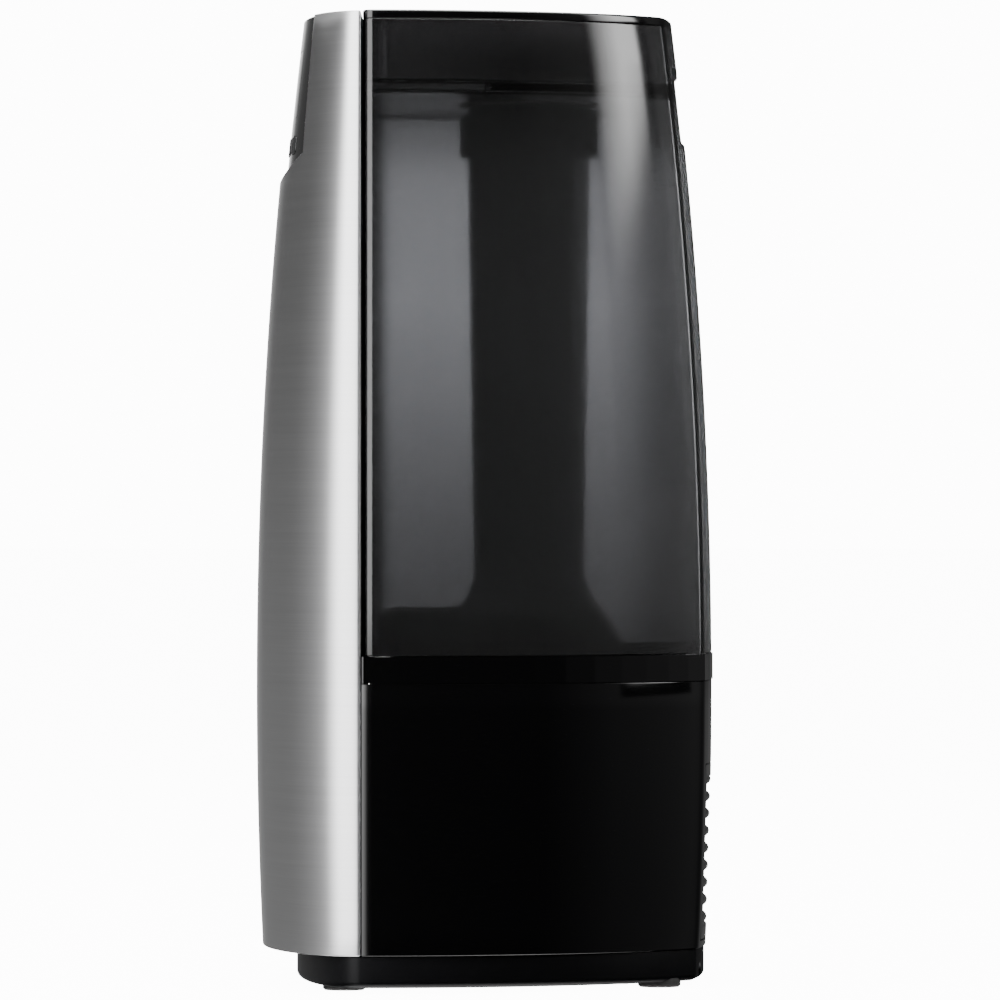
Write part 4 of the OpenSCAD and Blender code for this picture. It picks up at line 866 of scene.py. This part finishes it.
def nose_panel(name, x_low, x_high, z_low, z_high, outer, inner, radius=0.0, columns=48, rows=16,
               sharp=32.0):
    """Curved plate that lies in the front surface between two insets; radius rounds its four corners."""
    def place(u, v, inset):
        x, z = x_low + (x_high - x_low) * u, z_low + (z_high - z_low) * v
        if radius:
            cx = min(max(x, x_low + radius), x_high - radius)
            cz = min(max(z, z_low + radius), z_high - radius)
            dx, dz = x - cx, z - cz
            reach = max(abs(dx), abs(dz))
            size = math.hypot(dx, dz)
            if size > 1e-6 and abs(dx) > 1e-6 and abs(dz) > 1e-6:
                x, z = cx + dx * reach / size, cz + dz * reach / size
        return (x, nose_y(x, z, inset), z)

    n = columns + 1
    front = [place(c / columns, r / rows, outer) for r in range(rows + 1) for c in range(n)]
    back = [place(c / columns, r / rows, inner) for r in range(rows + 1) for c in range(n)]
    offset = len(front)
    plate_faces = []
    for r in range(rows):
        for c in range(columns):
            a = r * n + c
            plate_faces.append((a, a + 1, a + n + 1, a + n))
            plate_faces.append((offset + a, offset + a + n, offset + a + n + 1, offset + a + 1))
    border = ([c for c in range(n)] + [r * n + n - 1 for r in range(1, rows + 1)]
              + [rows * n + c for c in range(n - 2, -1, -1)] + [r * n for r in range(rows - 1, 0, -1)])
    for k, a in enumerate(border):
        b = border[(k + 1) % len(border)]
        plate_faces.append((a, offset + a, offset + b, b))
    return solid(name, front + back, plate_faces, sharp)


def soften(made, width, segments=3, angle=50.0):
    """Eases the sharp edges of a piece."""
    edge = made.modifiers.new("edge", "BEVEL")
    edge.width, edge.segments = width * MM, segments
    edge.limit_method, edge.angle_limit = "ANGLE", math.radians(angle)
    settle(made)


FASCIA_IN = COVER_WALL + FIT
fascia = nose_panel("control_fascia_panel", -PANEL_W / 2 - LAP, PANEL_W / 2 + LAP, PANEL_LOW - LAP,
                    COVER_TOP - 0.2, FASCIA_IN, FASCIA_IN + FASCIA_WALL, columns=60, rows=20)
key_names = ("key_power", "key_mist", "key_humidity", "key_timer", "key_night")
cutters = [panel_prism("lens_hole", LENS_W / 2 + 0.1, LENS_Z - LENS_H / 2 - 0.1, LENS_Z + LENS_H / 2 + 0.1,
                       3.1, -DEPTH, SEAM)]
for i, name in enumerate(key_names):
    hole = panel_prism(name + "_hole", KEY_W / 2 + FIT, KEY_Z - KEY_H / 2 - FIT, KEY_Z + KEY_H / 2 + FIT,
                       2.3, -DEPTH, SEAM)
    hole.data.transform(Matrix.Translation(((i - 2) * KEY_PITCH * MM, 0, 0)))
    cutters.append(hole)
carve(fascia, cutters)
fasten(fascia, "base", "black_gloss_plastic", black_gloss, "control_fascia")

lens_finish = polished("dark_lens", (0.004, 0.004, 0.006), 0.03)
lens = nose_panel("display_lens_window", -LENS_W / 2, LENS_W / 2, LENS_Z - LENS_H / 2, LENS_Z + LENS_H / 2,
                  FASCIA_IN + 0.05, FASCIA_IN + FASCIA_WALL - 0.1, radius=3.0, columns=56, rows=24)
soften(lens, 0.2)
fasten(lens, "base", "lens_plastic", lens_finish, "display_lens")

for i, name in enumerate(key_names):
    x = (i - 2) * KEY_PITCH
    key = nose_panel(name + "_pad", x - KEY_W / 2, x + KEY_W / 2, KEY_Z - KEY_H / 2, KEY_Z + KEY_H / 2,
                     FASCIA_IN - 0.4, FASCIA_IN + FASCIA_WALL + 0.6, radius=2.0, columns=26, rows=14)
    soften(key, 0.35)
    fasten(key, name, "black_gloss_plastic", black_matte, name)

# ---- Tank shell ------------------------------------------------------------------------
# Clear smoked shell, moulded in one piece with its roof and open below. Its front
# face is flat against the column and its upright front corners are rounded.
SLIP, TANK_WALL, CORNER_R = 0.8, 2.5, 4.0
TANK_Y = SEAM + SLIP
TANK_LOW, TANK_TOP = RIM_LEVEL + RIM_H + FIT, HEIGHT - 3.5
ROOF_TOP = TANK_TOP - 25.5
ROOF_LOW = ROOF_TOP - TANK_WALL
CHIMNEY_Y = SEAM + 67
POCKET_W, POCKET_H, POCKET_D = 64.0, 31.0, 12.0
POCKET_TOP = TANK_TOP - 17.5
POCKET_LOW = POCKET_TOP - POCKET_H
POCKET_Y = rear_surface(0, POCKET_TOP, SKIN) - POCKET_D


def tank_half(z, inset):
    """Right half of the tank's outline, its front corner rounded."""
    front, turn = TANK_Y + inset, max(CORNER_R - inset, 1.0)
    rest = rear_half(z, SKIN + inset, front + turn)
    side = rest[0][0]
    flat = [((side - turn) * i / 8, front) for i in range(8)]
    bend = [(side - turn + turn * math.sin(math.pi / 2 * i / 8),
             front + turn - turn * math.cos(math.pi / 2 * i / 8)) for i in range(8)]
    return flat + bend + rest


def tank_ring(z, inset):
    return at_level(mirrored_ring(tank_half(z, inset)), z)


def ring_onto_circle(ring, radius, z, centre=(0.0, CHIMNEY_Y)):
    """Circle with one point for each point of a ring, on the same bearing."""
    out = []
    for x, y, _ in ring:
        turn = math.atan2(y - centre[1], x - centre[0])
        out.append((centre[0] + radius * math.cos(turn), centre[1] + radius * math.sin(turn), z))
    return out


CHIMNEY_HOLE = 26.6
profile = rounded([(TANK_WALL + 12, ROOF_LOW, 0), (TANK_WALL, ROOF_LOW, 2.0), (TANK_WALL, 250, 0),
                   (TANK_WALL, TANK_LOW, 0.5), (0, TANK_LOW, 0.5), (0, 200, 0), (0, 260, 0), (0, 320, 0),
                   (0, TANK_TOP, 0.5), (TANK_WALL, TANK_TOP, 0.5), (TANK_WALL, ROOF_TOP, 2.0),
                   (TANK_WALL + 12, ROOF_TOP, 0)])
fine_profile = []
for (a, b), (c, d) in zip(profile, profile[1:]):
    steps = max(1, round(abs(d - b) / 16))
    fine_profile += [(a + (c - a) * i / steps, b + (d - b) * i / steps) for i in range(steps)]
fine_profile.append(profile[-1])
rings = [tank_ring(z, inset) for inset, z in fine_profile]
rings = [ring_onto_circle(rings[0], CHIMNEY_HOLE, ROOF_LOW)] + rings
rings.append(ring_onto_circle(rings[-1], CHIMNEY_HOLE, ROOF_TOP))
tank = loft("tank_shell_moulding", rings, closed=True)
carve(tank, [panel_prism("pocket_hole", POCKET_W / 2 - 0.05, POCKET_LOW + 0.05, POCKET_TOP - 0.05, 4.0,
                         POCKET_Y - 0.5, DEPTH)])

SMOKE = (0.118, 0.119, 0.123)
smoked, tree = finish_tree("smoked_clear_painted_shade")
haze, swirl = blotches(tree, 9.0, 4.0, rough=0.6), blotches(tree, 16.0, 1.0)
spot = tree.node("ShaderNodeSeparateXYZ", None, {0: tree.node("ShaderNodeTexCoord")["Object"]})
height = tree.node("ShaderNodeMapRange", None, {0: spot["Z"], 1: 0.13, 2: 0.39, 3: 0.0, 4: 1.0})


def grey_stops(stops):
    return [(place, (level, level, level, 1)) for place, level in stops]


# painted shade: the tint is darkened by height, towards the floor and the roof, and nearly black in a band
# at the roof
depth = tree.node("ShaderNodeValToRGB", {"stops": grey_stops([
    (0.0, 0.34), (0.09, 0.52), (0.25, 0.7), (0.42, 0.92), (0.56, 1.08), (0.75, 1.04), (0.86, 0.62),
    (0.872, 0.6), (0.8775, 0.015), (0.8905, 0.015), (0.896, 0.4), (1.0, 0.32)])}, {0: height})
# painted shade: the tint darkens steeply where the wall is seen at a slant
painted_slant_shade = tree.node("ShaderNodeValToRGB", {"stops": grey_stops([
    (0.0, 1.0), (0.15, 0.97), (0.19, 0.78), (0.24, 0.5), (0.27, 0.36), (0.31, 0.25), (0.5, 0.2),
    (1.0, 0.2)])},
    {0: tree.node("ShaderNodeLayerWeight", None, {"Blend": 0.5})["Facing"]})
# painted shade: the tint is darkened along the upright front corners
painted_corner_shade = tree.node("ShaderNodeMapRange", None, {
    0: spot["Y"], 1: (TANK_Y + 4.7) * MM, 2: (TANK_Y + 8.7) * MM, 3: 0.36, 4: 1.0})
# the smoke colour with the painted shade of height, slant and corners multiplied in
smoke_with_painted_shade = tree.node("ShaderNodeMix", {"data_type": "RGBA", "blend_type": "MULTIPLY"}, {
    0: 1.0, 6: tinted(tree, haze, [c * 0.96 for c in SMOKE], SMOKE), 7: depth * painted_slant_shade * painted_corner_shade})
smoke_with_painted_shade = Signal(tree, smoke_with_painted_shade.socket.node.outputs[2])
surface(tree, {"Base Color": smoke_with_painted_shade, "Roughness": 0.08 + 0.03 * haze, "IOR": 1.5, "Transmission Weight": 1.0,
               "Normal": bumped(tree, swirl, 0.2, 0.0002)})
fasten(tank, "tank", "smoked_plastic", smoked, "tank_shell")
dress(black_gloss, "mist_chimney", "mist_tray", "tank_floor")
dress(black_matte, "tank_cap")

# ---- Finger pocket -----------------------------------------------------------------------
# Opaque black insert glued into the tank's rear: a rounded pocket for the fingers
# with the hollow grip bar over it.


def pocket_ring(inset, depth, radius):
    """Rounded rectangle of the pocket, at a depth behind the rear face or, past the floor, on a flat."""
    ring = []
    flat = rear_patch_ring(POCKET_W / 2 - inset, POCKET_LOW + inset, POCKET_TOP - inset, radius, 0.0)
    for x, y, z in flat:
        ring.append((x, y - depth if depth < 5 else POCKET_Y + depth - 5, z))
    return ring


pocket_line = [(0.1, 0.35, 4.0), (0.3, 0.1, 4.0), (1.6, 0.1, 4.0), (2.0, 0.4, 4.0)]
rings = [pocket_ring(i, d, r) for i, d, r in pocket_line]
FLOOR_OF_POCKET = 7.0
rings += [pocket_ring(2.0, 5 + FLOOR_OF_POCKET, 4.0), pocket_ring(2.6, 5 + FLOOR_OF_POCKET - 3.4, 4.0),
          pocket_ring(4.2, 5 + FLOOR_OF_POCKET - 4.8, 3.0), pocket_ring(8.0, 5 + FLOOR_OF_POCKET - 5.0, 2.0)]
inner = list(rings)
outer = [pocket_ring(0.1, 5.6, 4.0), pocket_ring(0.7, 5.0, 4.0)]
shell_rings = [inner[k] for k in range(len(inner) - 1, -1, -1)] + outer
pocket = loft("finger_pocket_insert", shell_rings)
fasten(pocket, "tank", "black_matte_plastic", black_gloss, "handle_pocket")
low_y, high_y = POCKET_Y - 8.0, rear_surface(POCKET_W / 2, TANK_TOP, SKIN + TANK_WALL + 2.6) - 0.3
bar_x = POCKET_W / 2 - 0.3
bar = loft("grip_bar", [at_level([(-bar_x, low_y), (bar_x, low_y), (bar_x, high_y), (-bar_x, high_y)], z)
                        for z in (POCKET_TOP - 1, TANK_TOP - 0.2)])
soften(bar, 1.2, 4)
fasten(bar, "tank", "black_matte_plastic", black_gloss)

# ---- Lid ------------------------------------------------------------------------------------
# Flat polished lid that drops onto the tank, with a round seat for the nozzle.
LID_LOW = TANK_TOP + 0.1
NOZZLE_R, NOZZLE_H = 26.7, 8.3
NOZZLE_LOW = HEIGHT - NOZZLE_H
SEAT_R = NOZZLE_R + 0.1
lid_line = rounded([(TANK_WALL + 2, LID_LOW, 0), (TANK_WALL + 2, LID_LOW - 4, 0.3),
                    (TANK_WALL + 0.4, LID_LOW - 4, 0.3), (TANK_WALL + 0.4, LID_LOW, 0),
                    (0, LID_LOW, 0.2), (0, HEIGHT, 1.0), (12, HEIGHT, 0)])
outline = [tank_ring(z, inset) for inset, z in lid_line]
base_ring = outline[-1]
seat = [(SEAT_R + 0.4, HEIGHT), (SEAT_R, HEIGHT - 0.4), (SEAT_R, NOZZLE_LOW - 0.3),
        (NOZZLE_R - 4, NOZZLE_LOW - 0.3), (NOZZLE_R - 4, NOZZLE_LOW - 2.5),
        (SEAT_R + 2, NOZZLE_LOW - 2.5), (SEAT_R + 2, LID_LOW)]
rings = outline + [ring_onto_circle(base_ring, r, z) for r, z in seat]
lid = loft("lid_moulding", rings, closed=True)
fasten(lid, "lid", "black_gloss_plastic", black_gloss, "top_cover")

# ---- Mist nozzle ------------------------------------------------------------------------------
# Round insert that turns in the lid. Mist leaves by a slanting slot.
line = rounded([(0, HEIGHT - 3, 0), (NOZZLE_R - 5, HEIGHT - 3, 0.5), (NOZZLE_R - 5, NOZZLE_LOW, 0.3),
                (NOZZLE_R, NOZZLE_LOW, 0.3), (NOZZLE_R, HEIGHT, 0.7), (NOZZLE_R - 4, HEIGHT, 0.6),
                (NOZZLE_R - 5, HEIGHT - 0.8, 0.6), (0, HEIGHT - 0.8, 0)])
nozzle = spun("mist_nozzle_insert", line, (0.0, CHIMNEY_Y))
slot_half, slot_w = 15.0, 8.0
slot_ring = []
for cx, turn in ((slot_half - slot_w / 2, -90), (-slot_half + slot_w / 2, 90)):
    for i in range(13):
        a = math.radians(turn + 180 * i / 12)
        slot_ring.append((cx + slot_w / 2 * math.cos(a), slot_w / 2 * math.sin(a)))
lean = math.tan(math.radians(35))
slot_cut = loft("slot_cut", [[(x, CHIMNEY_Y - 5 + y - lean * h, HEIGHT - 2 + h) for x, y in slot_ring]
                             for h in (-6.0, 6.0)])
carve(nozzle, [slot_cut])
fasten(nozzle, "nozzle", "black_gloss_plastic", black_gloss, "mist_nozzle")
